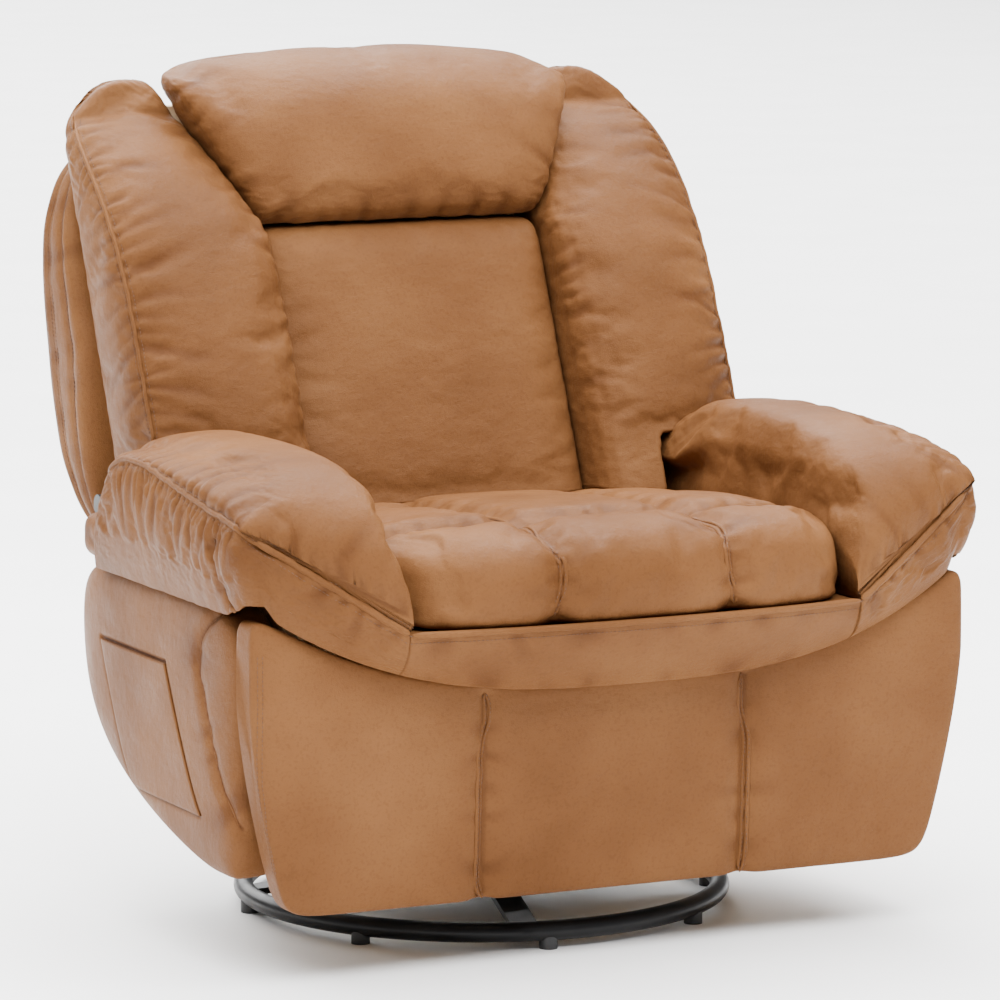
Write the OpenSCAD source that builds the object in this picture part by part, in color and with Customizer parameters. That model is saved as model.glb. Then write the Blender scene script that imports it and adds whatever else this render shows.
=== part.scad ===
// Swivel glider recliner: a padded chair on a round tube base.
// The seat body turns on a ball bearing, hangs on four glide links,
// leans its back on two hinge plates and throws its front panel
// forward as a footrest on two lazy-tongs link sets.
// Millimetres. Floor at z = 0 under the turning axis, front faces -Y.

/* [Upholstery] */
// Half width over the arms
arm_half = 475; // [430:1:520]
// Half width of the seat between the arms
seat_half = 290; // [260:1:320]
// Forward reach of the seat lip
lip_reach = 446; // [420:1:470]
// Height of the seam line along the seat front
welt_z = 407; // [390:1:420]
// Height of the top of the seat cushion
seat_top = 517; // [505:1:530]
// Rear end of the seat cushion
seat_rear = 150; // [120:1:165]
// Distance of each long seat seam from the middle
channel_x = 107; // [90:1:130]
// Depth that the seat seams draw in
channel_depth = 9; // [3:1:14]
// Lowest height of the lip that curves across the front
smile_low = 333; // [325:1:342]
// Rise of that curve from the middle to the arm's outer side
smile_rise = 126; // [100:1:140]
// Highest point of the arm pads
arm_top = 591; // [575:1:602]
// Rear end of the arm pads
arm_rear = 100; // [80:1:112]

/* [Back] */
// Height of the whole chair
chair_height = 1014; // [990:1:1040]
// Height of the head pillow, from its lower seam to its top
pillow_h = 205; // [184:1:224]
// Half width of the back's middle cushion
back_half = 188; // [160:1:205]
// Half width over the back's wings
wing_half = 397; // [370:1:410]
// Slope of the back frame from upright, in degrees
back_slope = 22.5; // [18:0.5:26]
// Depth of the back cushion
back_pad = 100; // [80:1:115]
// Thickness of the back frame
back_frame_t = 25; // [18:1:30]

/* [Footrest] */
// Half width of the front panel that becomes the footrest
panel_half = 461; // [440:1:466]
// Height of its lower edge from the floor
panel_bottom = 80; // [75:1:95]
// Distance of each upright panel seam from the middle
panel_seam_x = 164; // [140:1:190]
// Half length of a footrest link between its pivots
link_half = 97; // [94:0.5:99]
// Width of a footrest link
link_w = 16; // [14:0.5:16]
// Thickness of a link
link_t = 4; // [3:0.5:5]
// Radius of the link rivets
rivet_r = 4; // [3:0.25:4.5]

/* [Base] */
// Radius of the ring's centre line
ring_r = 290; // [260:1:310]
// Radius of the ring's tube
tube_r = 12; // [10:0.5:14]
// Height of the small feet
foot_h = 9; // [6:1:12]
// Number of feet
foot_count = 8; // [4:1:12]
// Number of spokes
spoke_count = 4; // [3:1:6]
// Width of a spoke
spoke_w = 32; // [24:1:40]
// Turn of the first spoke from the front, in degrees
spoke_turn = 15; // [0:1:30]
// Turn of the first foot from the front, in degrees
foot_turn = 10; // [0:0.5:22]
// Radius of the swivel spindle
spindle_r = 15; // [12:0.5:18]

/* [Glide] */
// Length of the hanging links between pivots
glide_len = 100; // [80:1:110]
// Distance of the glide pivots in front of and behind the axis
glide_y = 110; // [90:1:120]
// Height of the upper glide pivots
glide_top = 259; // [250:1:266]

/* [Hidden] */

$fn = 48;
// Overrun of a cut past a face
over = 1;
// Gap between padded pieces of one body
pad_gap = 0.6;
// Running clearance of a pin in its hole
run_gap = 0.1;
// Side gap between neighbouring links
layer_gap = 0.6;
// Gap between a padded piece and the board that carries it
seat_gap = 0.3;
leather = [0.66, 0.44, 0.27];
black_metal = [0.05, 0.05, 0.055];
steel = [0.62, 0.62, 0.63];
timber = [0.72, 0.58, 0.40];
black_plastic = [0.09, 0.09, 0.1];

// Base sizes
hub_r = 75;
hub_t = 6;
hub_z = 46;
spoke_t = 8;
spindle_head_r = 22;
spindle_head_t = 6;
foot_r = 11;
race_in = 38;
race_out = 62;
race_t = 6;
ball_r = 4;
ball_count = 20;
ball_gap = 0.15;
race_mid = (race_in + race_out) / 2;
lower_race_z = hub_z + hub_t;
ball_z = lower_race_z + race_t + ball_r * 0.5;
upper_race_z = ball_z + ball_r * 0.5;
plate_z = upper_race_z + race_t;
plate_t = 5;
plate_y = 150;
nut_r = 24;
nut_t = 9;
stand_x = 168;
stand_t = 5;
stand_foot = 26;
stand_ear_r = 16;
pin_r = 6;

// Glide sizes, from the stand outwards: link, then rail
glide_link_w = 24;
glide_link_t = 5;
glide_link_x = stand_x + stand_t + layer_gap;
rail_x = glide_link_x + glide_link_t + layer_gap;
rail_t = 5;
rail_h = 34;
rail_y = 190;
glide_low = glide_top - glide_len;
tube_y = 172;
cross_tube_r = 11;
pin_head_t = 3;
pin_head_r = 9;

// Seat frame sizes
frame_low = 332;
frame_h = 48;
frame_t = 28;
frame_inset = 5;
frame_half = seat_half - frame_inset;
frame_front = 306;
frame_rear = 172;
spring_r = 1.9;
spring_pitch = 20;
spring_count = 5;
spring_half_w = 24;
spring_drop = 14;
spring_z = frame_low + frame_h - spring_drop;
cushion_low = frame_low + frame_h + pad_gap;

// Footrest link sizes
mech_x = 262;
mech_t = 4;
link_tilt = -5;
folded_q = 85;
fix_y = -222;
fix_z = 305;
slot_gap = 0.2;
slide_end_q = 6;
board_half = 398;
board_t = 15;
board_y = -300;
panel_back = 300;
panel_y = -panel_back - board_t;
panel_front = 366;

// Arm, side and rear sizes
arm_board_t = 18;
arm_outer = 385;
arm_board_low = 155;
side_in = arm_outer + seat_gap;
side_out = 461;
side_low = 116;
side_top = 431;
side_front = 304;
side_rear = 174;
rear_y = 262;
rear_t = 23;
rear_top = 309;
rear_low = 236;

// Back sizes
recline_y = 250;
recline_z = 367;
face_y0 = 108;
face_z0 = 531;
pillow_z = chair_height - pillow_h;
shell_low = 344;
shell_trim = 9;
hinge_t = 6;
hinge_r = 8;

// Smooth curve across the front, as a height at side distance x
function smile(x) = smile_low + smile_rise * pow(abs(x) / arm_half, 2.9);
// Forward face of the lip at side distance x
lip_side_reach = 366;
function lip_y(x) = -lip_reach + (lip_reach - lip_side_reach) * pow(abs(x) / arm_half, 2.3);
// Forward plane of the back cushion, and of the frame behind it
function face_y(z) = face_y0 + (z - face_z0) * tan(back_slope);
function frame_y(z) = face_y(z) + back_pad;

// Signed power for superellipse sections
function sq(c, e) = sign(c) * pow(abs(c), 2 / e);
// Shrink of a section near the ends of a padded piece
function end_share(v, e) = pow(max(0, 1 - pow(abs(v), e)), 1 / e);
// One closed ring of a padded piece in the unit square
function ring_shares(n, e, s) = [for (i = [0:n - 1]) [s * sq(cos(360 * i / n), e), s * sq(sin(360 * i / n), e)]];

// Closed skin over rings of equal counts, all faces triangles
module skin(rings) {
  n = len(rings[0]);
  m = len(rings);
  pts = [for (r = rings) for (p = r) p];
  sides = [for (i = [0:m - 2]) for (j = [0:n - 1]) let (k = (j + 1) % n)
    each [[i * n + j, (i + 1) * n + k, i * n + k], [i * n + j, (i + 1) * n + j, (i + 1) * n + k]]];
  first = [for (j = [1:n - 2]) [0, j, j + 1]];
  last = [for (j = [1:n - 2]) [(m - 1) * n, (m - 1) * n + j + 1, (m - 1) * n + j]];
  polyhedron(points = pts, faces = concat(sides, first, last), convexity = 6);
}

// Padded piece: unit sections swept along v and placed by the map f(u, w, v)
module padded(f, n, section_e, end_e, stations) {
  skin([for (v = stations) [for (p = ring_shares(n, section_e, end_share(v, end_e))) f(p[0], p[1], v)]]);
}
// Even stations with closer ones at both ends
function stations(n) = concat([-0.9995, -0.985, -0.93], [for (i = [0:n]) -0.82 + 1.64 * i / n], [0.93, 0.985, 0.9995]);
// Share by which a section narrows at its low end (v below zero) and its high end
function two_ends(v, low_e, high_e) = end_share(v, v < 0 ? low_e : high_e);
// Padded piece with its own section outline, drawn in sideways by the side powers
// and towards its back (w = 1) by the depth powers
module bag(f, outline, side_e, depth_e, stations) {
  skin([for (v = stations) let (su = two_ends(v, side_e[0], side_e[1]), sw = two_ends(v, depth_e[0], depth_e[1]))
    [for (p = outline) f(p[0] * su, 1 + (p[1] - 1) * sw, v)]]);
}
function smooth_step(t) = let (c = max(0, min(1, t))) c * c * (3 - 2 * c);
function mix(a, b, t) = a + (b - a) * (t + 1) / 2;

// Step between a strip's straight edge and its round end
strap_step = 0.1;
// Flat strip with a round end and a hole at each pivot, in the Y-Z plane
module strap(a, b, w, t, holes) {
  d = b - a;
  ang = atan2(d[1], d[0]);
  len_ab = norm(d);
  rotate([90, 0, 90]) linear_extrude(t) difference() {
    union() {
      translate(a) circle(w / 2);
      translate(b) circle(w / 2);
      translate(a) rotate(ang) translate([0, strap_step - w / 2]) square([len_ab, w - 2 * strap_step]);
    }
    for (h = holes) translate(h[0]) circle(h[1]);
  }
}
// Rod along X from x0 to x1 at (y, z)
module rod(x0, x1, p, r) {
  translate([x0, p[0], p[1]]) rotate([0, 90, 0]) cylinder(r = r, h = x1 - x0);
}
module both_sides() {
  children();
  mirror([1, 0, 0]) children();
}

// Base
module torus(big, small, z) {
  translate([0, 0, z]) rotate_extrude($fn = 96) translate([big, 0]) circle(small);
}
ring_z = foot_h + tube_r;
module spoke_profile() {
  hub_low = hub_z - spoke_t;
  polygon([
    [spindle_head_r + over, hub_low], [hub_r + spoke_t, hub_low],
    [ring_r, ring_z - spoke_t / 2], [ring_r, ring_z + spoke_t / 2],
    [hub_r + spoke_t, hub_z], [spindle_head_r + over, hub_z + hub_t / 2]
  ]);
}
module base_ring() color(black_metal) difference() {
  union() {
    torus(ring_r, tube_r, ring_z);
    for (i = [0:spoke_count - 1]) rotate([0, 0, -90 - spoke_turn + i * 360 / spoke_count])
      translate([0, spoke_w / 2, 0]) rotate([90, 0, 0]) linear_extrude(spoke_w) spoke_profile();
    translate([0, 0, hub_z]) cylinder(r = hub_r, h = hub_t);
  }
  translate([0, 0, hub_z - spoke_t - over]) cylinder(r = spindle_r, h = spoke_t + hub_t + 2 * over);
}
module base_feet() color(black_plastic) difference() {
  for (i = [0:foot_count - 1]) rotate([0, 0, -90 - foot_turn + i * 360 / foot_count])
    translate([ring_r, 0, 0]) cylinder(r = foot_r, h = ring_z - tube_r / 2);
  torus(ring_r, tube_r, ring_z);
}
module race(z) difference() {
  translate([0, 0, z]) cylinder(r = race_out, h = race_t);
  translate([0, 0, z - over]) cylinder(r = race_in, h = race_t + 2 * over);
  torus(race_mid, ball_r + ball_gap, ball_z);
}
module bearing_lower_race() color(steel) race(lower_race_z);
module bearing_upper_race() color(steel) race(upper_race_z);
module bearing_balls() color(steel)
  for (i = [0:ball_count - 1]) rotate([0, 0, i * 360 / ball_count])
    translate([race_mid, 0, ball_z]) sphere(ball_r);
module swivel_spindle() color(steel) {
  translate([0, 0, hub_z - spindle_head_t]) cylinder(r = spindle_head_r, h = spindle_head_t);
  translate([0, 0, hub_z - over]) cylinder(r = spindle_r, h = plate_z + plate_t + run_gap + nut_t - hub_z + over);
}

// Turntable
module turntable_plate() color(black_metal) difference() {
  translate([-stand_x - stand_t, -plate_y, plate_z]) cube([2 * (stand_x + stand_t), 2 * plate_y, plate_t]);
  translate([0, 0, plate_z - over]) cylinder(r = spindle_r + run_gap, h = plate_t + 2 * over);
  for (sx = [-1, 1], sy = [-1, 1]) translate([sx * stand_x * 0.62, sy * plate_y * 0.6, plate_z - over])
    cylinder(r = plate_y / 5, h = plate_t + 2 * over);
}
module spindle_nut() color(steel) translate([0, 0, plate_z + plate_t + run_gap]) difference() {
  cylinder(r = nut_r, h = nut_t, $fn = 6);
  translate([0, 0, -over]) cylinder(r = spindle_r, h = nut_t + 2 * over);
}
module stand_profile() difference() {
  union() {
    for (s = [-1, 1]) translate([s * glide_y, glide_top]) circle(stand_ear_r);
    translate([-glide_y - stand_ear_r, plate_z + plate_t])
      square([2 * (glide_y + stand_ear_r), glide_top - plate_z - plate_t]);
  }
  for (s = [-1, 1]) translate([s * glide_y / 2, (glide_top + plate_z) / 2]) circle(stand_foot * 1.3);
  for (s = [-1, 1]) translate([s * glide_y, glide_top]) circle(pin_r);
}
module glide_stands() color(black_metal) both_sides() {
  translate([stand_x, 0, 0]) rotate([90, 0, 90]) linear_extrude(stand_t) stand_profile();
  translate([stand_x - stand_foot, -glide_y - stand_ear_r, plate_z + plate_t])
    cube([stand_foot, 2 * (glide_y + stand_ear_r), stand_t]);
}
module glide_upper_pins() color(steel) both_sides() for (s = [-1, 1]) {
  rod(stand_x - pin_head_t, stand_x, [s * glide_y, glide_top], pin_head_r);
  rod(stand_x, rail_x - layer_gap, [s * glide_y, glide_top], pin_r);
  rod(rail_x - layer_gap, rail_x - layer_gap + pin_head_t, [s * glide_y, glide_top], pin_head_r);
}
module glide_links(y) color(black_metal) both_sides()
  translate([glide_link_x, 0, 0]) strap([y, glide_low], [y, glide_top], glide_link_w, glide_link_t,
    [[[y, glide_low], pin_r + run_gap], [[y, glide_top], pin_r + run_gap]]);
module front_glide_links() glide_links(-glide_y);
module rear_glide_links() glide_links(glide_y);

// Chassis
module glide_rails() color(black_metal) both_sides() {
  difference() {
    translate([rail_x, -rail_y, glide_low - rail_h / 2]) cube([rail_t, 2 * rail_y, rail_h]);
    for (s = [-1, 1]) rod(rail_x - over, rail_x + rail_t + over, [s * tube_y, glide_low], cross_tube_r);
  }
  for (s = [-1, 1]) rod(glide_link_x, rail_x, [s * glide_y, glide_low], pin_r);
}
module cross_tubes() color(steel) for (s = [-1, 1]) difference() {
  rod(-mech_x, mech_x, [s * tube_y, glide_low], cross_tube_r);
  rod(-mech_x - over, mech_x + over, [s * tube_y, glide_low], cross_tube_r - glide_link_t / 2);
}

// Lazy-tongs points in the Y-Z plane at spread angle q
function along() = [-cos(link_tilt), sin(link_tilt)];
function across() = [sin(link_tilt), cos(link_tilt)];
function leg(a) = [-cos(link_tilt + a), sin(link_tilt + a)];
fix_p = [fix_y, fix_z];
slide_p = fix_p - 2 * link_half * sin(folded_q) * across();
slide_end = fix_p - 2 * link_half * sin(slide_end_q) * across();
low_p = fix_p + 2 * link_half * leg(-folded_q);
high_p = slide_p + 2 * link_half * leg(folded_q);
panel_p = low_p + 2 * link_half * leg(folded_q);
cross_p = high_p + 2 * link_half * leg(-folded_q);
near_mid = (fix_p + low_p) / 2;
far_mid = (low_p + panel_p) / 2;
brace_p = panel_p + link_half * leg(-folded_q);
outer_layer = mech_x - layer_gap - link_t;
inner_layer = outer_layer - layer_gap - link_t;
rivet_hole = rivet_r + run_gap;
rivet_head_r = rivet_r * 1.6;
rivet_head_t = link_t / 2;

module mechanism_plates() color(black_metal) both_sides() {
  translate([mech_x, 0, 0]) rotate([90, 0, 90]) linear_extrude(mech_t) difference() {
    polygon([
      [tube_y + rail_h / 2, glide_low - rail_h / 2], [tube_y + rail_h / 2, frame_low],
      [fix_y - link_w, frame_low], [slide_p[0] - link_w, slide_p[1] - link_w / 2],
      [slide_p[0] + link_w, slide_p[1] - link_w / 2], [fix_y + rail_h, glide_low - rail_h / 2]
    ]);
    for (i = [-1:1]) translate([i * tube_y / 2, (glide_low + frame_low) / 2 + link_w]) circle(rail_h * 0.7);
    translate(slide_p - slot_gap * across()) circle(rivet_r + slot_gap);
    translate(slide_end + slot_gap * across()) circle(rivet_r + slot_gap);
    translate(slide_p) rotate(-link_tilt) translate([-rivet_r - slot_gap, 0])
      square([2 * (rivet_r + slot_gap), norm(slide_end - slide_p)]);
  }
  rod(outer_layer, mech_x, fix_p, rivet_r);
}
module outer_link(a, b, holes) color(steel) both_sides()
  translate([outer_layer, 0, 0]) strap(a, b, link_w, link_t, [for (h = holes) [h, rivet_hole]]);
module inner_link(a, b, pins) color(steel) both_sides() {
  translate([inner_layer, 0, 0]) strap(a, b, link_w, link_t, []);
  for (p = pins) {
    rod(inner_layer + link_t, outer_layer + link_t, p, rivet_r);
    rod(inner_layer - rivet_head_t, inner_layer, p, rivet_head_r);
  }
}
module footrest_rear_links() outer_link(fix_p, low_p, [fix_p, near_mid, low_p]);
module footrest_slide_links() {
  inner_link(slide_p, high_p, [near_mid, high_p]);
  color(steel) both_sides() rod(inner_layer + link_t, mech_x + mech_t, slide_p, rivet_r);
}
module footrest_front_links() inner_link(low_p, panel_p, [low_p, far_mid, panel_p]);
module footrest_cross_links() outer_link(high_p, cross_p, [high_p, far_mid, cross_p]);
module footrest_closing_links() inner_link(cross_p, brace_p, [cross_p, brace_p]);
bracket_flange = 26;
module footrest_brackets() color(steel) both_sides() {
  translate([outer_layer, 0, 0]) rotate([90, 0, 90]) linear_extrude(link_t) difference() {
    union() {
      translate(panel_p) circle(link_w / 2);
      translate(brace_p) circle(link_w / 2);
      polygon([
        panel_p + link_w / 2 * across(), panel_p - link_w / 2 * leg(90 - folded_q),
        brace_p - link_w / 2 * leg(90 - folded_q), brace_p - [0, link_w / 2],
        [board_y, brace_p[1] - link_w], [board_y, panel_p[1] - link_w / 2]
      ]);
    }
    for (p = [panel_p, brace_p]) translate(p) circle(rivet_hole);
  }
  translate([outer_layer + link_t / 2, board_y, brace_p[1] - link_w - link_t])
    cube([bracket_flange, link_t * 0.75, panel_p[1] - brace_p[1] + link_w / 2 + 2 * link_t]);
}
board_low = 99;
board_h = 212;
module footrest_board() color(timber)
  translate([-board_half, panel_y, board_low]) cube([2 * board_half, board_t, board_h]);

// Front panel pad: upright seams and an upper edge that follows the lip
panel_lip_gap = 11;
panel_lean = 16;
panel_taper_share = 0.155;
panel_draw = 5;
seam_w = 14;
function dent(d, w) = exp(-pow(d / w, 2));
function panel_point(u, w, v) = let (
  x0 = v * panel_half,
  z = mix(panel_bottom, smile(x0) - panel_lip_gap, w),
  low = max(0, (smile_low - z) / smile_low),
  front = -panel_front + panel_lean * low + panel_draw * (dent(abs(x0) - panel_seam_x, seam_w))
) [x0 * (1 - panel_taper_share * pow(low, 1.5) * pow(x0 / panel_half, 4)), mix(front, panel_y - pad_gap / 2, u), z];
function seam_stations(half, seam) = [
  -0.997, -0.985, -0.96, -0.92, -0.84, -0.72, -0.56,
  -(seam + seam_w) / half, -seam / half, -(seam - seam_w) / half, -0.15, 0, 0.15,
  (seam - seam_w) / half, seam / half, (seam + seam_w) / half,
  0.56, 0.72, 0.84, 0.92, 0.96, 0.985, 0.997
];
module footrest_pad() color(leather)
  padded(function(u, w, v) panel_point(u, w, v), 20, 9, 15, seam_stations(panel_half, panel_seam_x));

// Seat
module seat_frame() color(timber) difference() {
  translate([-frame_half, -frame_front, frame_low]) cube([2 * frame_half, frame_front + frame_rear, frame_h]);
  translate([-frame_half + frame_t, -frame_front + frame_t, frame_low - over])
    cube([2 * (frame_half - frame_t), frame_front + frame_rear - 2 * frame_t, frame_h + 2 * over]);
}
module seat_springs() color(steel) {
  y0 = -frame_front + frame_t;
  y1 = frame_rear - frame_t;
  loops = floor((y1 - y0) / spring_pitch);
  pitch = (y1 - y0) / loops;
  wave = [[0, 0], for (i = [0:loops - 1]) let (s = i % 2 == 0 ? 1 : -1)
    each [[s, i + 0.2], [s, i + 0.8]], [0, loops]];
  for (k = [0:spring_count - 1]) translate([(k - (spring_count - 1) / 2) * 2 * (frame_half - frame_t) / spring_count, y0, spring_z - spring_r])
    linear_extrude(2 * spring_r) polygon(concat(
      [for (p = wave) [p[0] * spring_half_w - spring_r, p[1] * pitch]],
      [for (i = [len(wave) - 1:-1:0]) [wave[i][0] * spring_half_w + spring_r, wave[i][1] * pitch]]
    ));
}
// Seat cushion: three channels, one cross seam, crown, drawn-in sides, rolled front
cross_seam_y = -312;
seat_crown = 8;
seat_drop = 30;
function seat_low(y) = max(cushion_low, welt_z + pad_gap - max(0, y + frame_front - 3 * seam_w));
function seat_point(u, w, v) = let (
  x = v * (seat_half - pad_gap),
  front = lip_y(x) + pad_gap,
  y = mix(front, seat_rear, u),
  seams = dent(abs(x) - channel_x, seam_w) + dent(y - cross_seam_y, seam_w),
  top = seat_top - seat_crown * pow(abs(v), 2) - seat_drop * max(0, (y - cross_seam_y) / (arm_rear - cross_seam_y)) - (w > 0 ? channel_depth * min(1, seams) : 0)
) [x, y + (w > -0.4 && u < -0.8 ? channel_depth * dent(abs(x) - channel_x, seam_w) : 0), mix(seat_low(y), top, w)];
module seat_cushion() color(leather) {
  cross_u = 2 * (cross_seam_y + lip_reach) / (seat_rear + lip_reach) - 1;
  du = 2 * seam_w / (seat_rear + lip_reach);
  upper = [[-1, 0], [-0.985, 0.45], [-0.93, 0.72], [-0.85, 0.86], [cross_u - 1.6 * du, 0.95], [cross_u - 0.7 * du, 0.98],
    [cross_u, 0.985], [cross_u + 0.7 * du, 0.99], [cross_u + 1.6 * du, 1], [-0.3, 1], [0, 1], [0.35, 1],
    [0.65, 0.93], [0.85, 0.75], [0.96, 0.4], [1, 0]];
  lower = [[0.96, -0.9], [0.6, -1], [0, -1], [-0.5, -1], [-0.745, -1], [-0.77, -1], [-0.9, -1], [-0.96, -0.97], [-0.99, -0.7]];
  outline = concat(upper, lower);
  turned = [for (i = [len(outline) - 1:-1:0]) outline[i]];
  skin([for (v = seam_stations(seat_half, channel_x)) let (s = end_share(v, 9))
    [for (p = turned) seat_point(s * p[0], s * p[1], v)]]);
}
// Lower front roll: from the welt down and back to the smile line
lip_low_y = 400;
lip_bulge = 7;
lip_back_rise = 12;
function low_edge_y(x) = -lip_low_y + (lip_low_y - panel_front) * pow(abs(x) / side_out, 2.3);
// Outer face of the roll at share t from the welt (0) to its lower edge (1), out along n
function face_point(top, low, n, bulge, t) = top + (low - top) * t + 4 * t * (1 - t) * bulge * n;
face_shares = [0, 0.12, 0.3, 0.5, 0.7, 0.88, 1];
function lip_ring(x) = let (
  top = [x, lip_y(x), welt_z],
  low = [x, low_edge_y(x), smile(x)]
) concat(
  [for (t = face_shares) face_point(top, low, [0, -1, -1] / sqrt(2), lip_bulge, t)],
  [[x, -frame_front - pad_gap, smile(x) + lip_back_rise], [x, -frame_front - pad_gap, welt_z]]
);
module seat_lip() color(leather)
  skin([for (i = [-7:7]) lip_ring(i / 7 * (seat_half - pad_gap))]);

// Arms
arm_board_reach = 280;
inner_board_top = frame_low + frame_h;
hinge_boss_r = 20;
block_h = 32;
// Side outline of an arm board, cut back along the side panel's swept edge
sweep_inset = 22;
module board_outline(top) polygon(concat(
  [[-arm_board_reach, top], [-arm_board_reach, arm_board_low]],
  [for (i = [0:4]) let (z = arm_board_low + i * (recline_z - arm_board_low) / 4)
    [side_rear_y(z) - sweep_inset, z]],
  [[side_rear - sweep_inset, top]]
));
block_rear = side_rear - sweep_inset - block_h;
rear_block_z = (rear_low + rear_top - block_h) / 2;
module arm_frame() color(timber) {
  translate([frame_half, 0, 0]) rotate([90, 0, 90]) linear_extrude(arm_board_t) board_outline(inner_board_top);
  translate([arm_outer - arm_board_t, 0, 0]) rotate([90, 0, 90]) linear_extrude(arm_board_t) {
    board_outline(side_top);
    translate([block_rear, rear_block_z]) square([rear_face_y(rear_block_z) - seat_gap - block_rear, block_h]);
    translate([block_rear, recline_z - hinge_boss_r]) square([recline_y - block_rear, 2 * hinge_boss_r]);
    translate([recline_y, recline_z]) circle(hinge_boss_r);
  }
  for (p = [[-arm_board_reach, arm_board_low], [-arm_board_reach, inner_board_top - block_h], [block_rear, inner_board_top - block_h]])
    translate([frame_half + arm_board_t, p[0], p[1]])
      cube([arm_outer - frame_half - 2 * arm_board_t, block_h, block_h]);
}
module arm_frame_left() arm_frame();
module arm_frame_right() mirror([1, 0, 0]) arm_frame();

// Seam plane under the arm pad, rising outwards
welt_lift = 70;
welt_front = smile_low + smile_rise + welt_lift;
welt_mid = 572;
welt_rise_y = -86;
welt_fall_y = -40;
welt_fall_len = 80;
welt_fall = 35;
function outer_welt(y) = let (
  t = max(0, min(1, (y + panel_front) / (welt_rise_y + panel_front))),
  r = max(0, min(1, (y - welt_fall_y) / welt_fall_len))
) welt_front + (welt_mid - welt_front) * t - welt_fall * r * r;
// Rear end of the arm, swept forward from the seat's rear to the arm's outer side
arm_sweep = 75;
function arm_end(x) = seat_rear
  - (seat_rear - arm_rear + arm_sweep) * pow(max(0, abs(x) - seat_half) / (arm_half - seat_half), 2);
function arm_plane(x, y) = welt_z + (outer_welt(y) - welt_z) * (abs(x) - seat_half) / (arm_half - seat_half);
pad_least = 12;
pad_crown = 8;
pad_crown_y = -130;
pad_crown_len = 240;
function pad_top(x, y) = max(arm_top - pad_crown * pow((y - pad_crown_y) / pad_crown_len, 2), arm_plane(x, y) + pad_least);
pad_rear_cut = 30;
pad_overhang = 18;
pad_edge = 1;
pad_front_e = 3.2;
pad_rear_e = 4.5;
pad_side_e = 2.7;
pad_inner_e = 4;
overhang_from = seat_top - 4;
overhang_rise = 30;
pad_top_shares = [-1, -0.985, -0.93, -0.8, -0.55, -0.2, 0.2, 0.55, 0.8, 0.93, 0.985, 1];
pad_base_shares = [1, 0.4, -0.4, -1];
// Arm pad: a dome over the welt's outline, a across and b from front to rear
function arm_pad_point(a, b, up) = let (
  x = mix(seat_half + pad_gap, arm_half, a),
  dome = two_ends(a, pad_inner_e, pad_side_e) * two_ends(b, pad_front_e, pad_rear_e),
  y = mix(lip_y(x), arm_end(x) - pad_rear_cut * up * dome * max(0, b), b),
  low = arm_plane(x, y) + pad_gap,
  z = low + up * max(pad_edge, (pad_top(x, y) - low) * dome)
) [x - pad_overhang * smooth_step((z - overhang_from) / overhang_rise) * pow((1 - a) / 2, 2), y, z];
module arm_pad() color(leather)
  skin([for (b = stations(11)) concat(
    [for (a = pad_top_shares) arm_pad_point(a, b, 1)],
    [for (a = pad_base_shares) arm_pad_point(a, b, 0)]
  )]);
module arm_pad_left() arm_pad();
module arm_pad_right() mirror([1, 0, 0]) arm_pad();

// Arm band: one strip from the lip round the arm's front corner to its rear,
// from the welt down to the smile line and then to the side panel's top
band_in_x = 345;
band_in_y = 300;
band_bulge = 9;
seam_drop = 4;
band_rear = arm_end(arm_half) - 2;
band_skew = 70;
band_skew_from = -120;
band_low_out = side_out + 2;
corner_shares = [0, 0.5, 1];
corner_r = 20;
function band_ring(top, low, n, in_x, in_y) = let (
  in_top_y = min(in_y, max(top[1], -band_in_y)),
  in_top = min(top[2], arm_plane(in_x, in_top_y) - seam_drop),
  in_low = min(side_top + pad_gap, in_top - lip_back_rise)
) concat(
  [for (t = face_shares) face_point(top, low, n, band_bulge, t)],
  [[in_x, in_y, in_low], [in_x, in_top_y, in_top]]
);
function band_front_ring(x) = band_ring(
  [x, lip_y(x), arm_plane(x, lip_y(x)) - seam_drop], [x, low_edge_y(x), smile(x)], [0, -1, -1] / sqrt(2),
  x < band_in_x ? x : band_in_x + (x - band_in_x) / 10, -band_in_y + max(0, x - band_in_x) / 12);
function band_side_ring(y) = let (
  b = smooth_step((y + panel_front) / (panel_front - band_in_y)),
  low_y = y + band_skew * smooth_step((y - band_skew_from) / (band_rear - band_skew_from))
) band_ring(
  [arm_half - pad_gap, y, arm_plane(arm_half, y) - seam_drop],
  [band_low_out, low_y, smile(side_out) + (side_top + pad_gap - smile(side_out)) * b], [1, 0, -0.3],
  band_in_x + (arm_half - band_in_x) / 10, max(low_y, -band_in_y + (arm_half - band_in_x) / 10));
function band_corner_ring(t) = let (
  x = arm_half - pad_gap - corner_r * (1 - sin(90 * t)),
  y = lip_y(arm_half) + corner_r * (1 - cos(90 * t))
) band_ring(
  [x, y, arm_plane(x, y) - seam_drop], [x - (arm_half - band_low_out), y + corner_r * (1 - t) / 10, smile(side_out)],
  [sin(90 * t), -cos(90 * t), -0.5], band_in_x + (x - band_in_x) / 10, -band_in_y + (x - band_in_x) / 11);
module arm_band() color(leather)
  skin(concat(
    [for (i = [0:5]) band_front_ring(seat_half + pad_gap + (arm_half - 2 * corner_r - seat_half) * i / 5)],
    [for (t = corner_shares) band_corner_ring(t)],
    [for (i = [1:11]) band_side_ring(-panel_front + corner_r + (band_rear + panel_front - corner_r) * i / 11)]
  ));
module arm_band_left() arm_band();
module arm_band_right() mirror([1, 0, 0]) arm_band();

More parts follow.
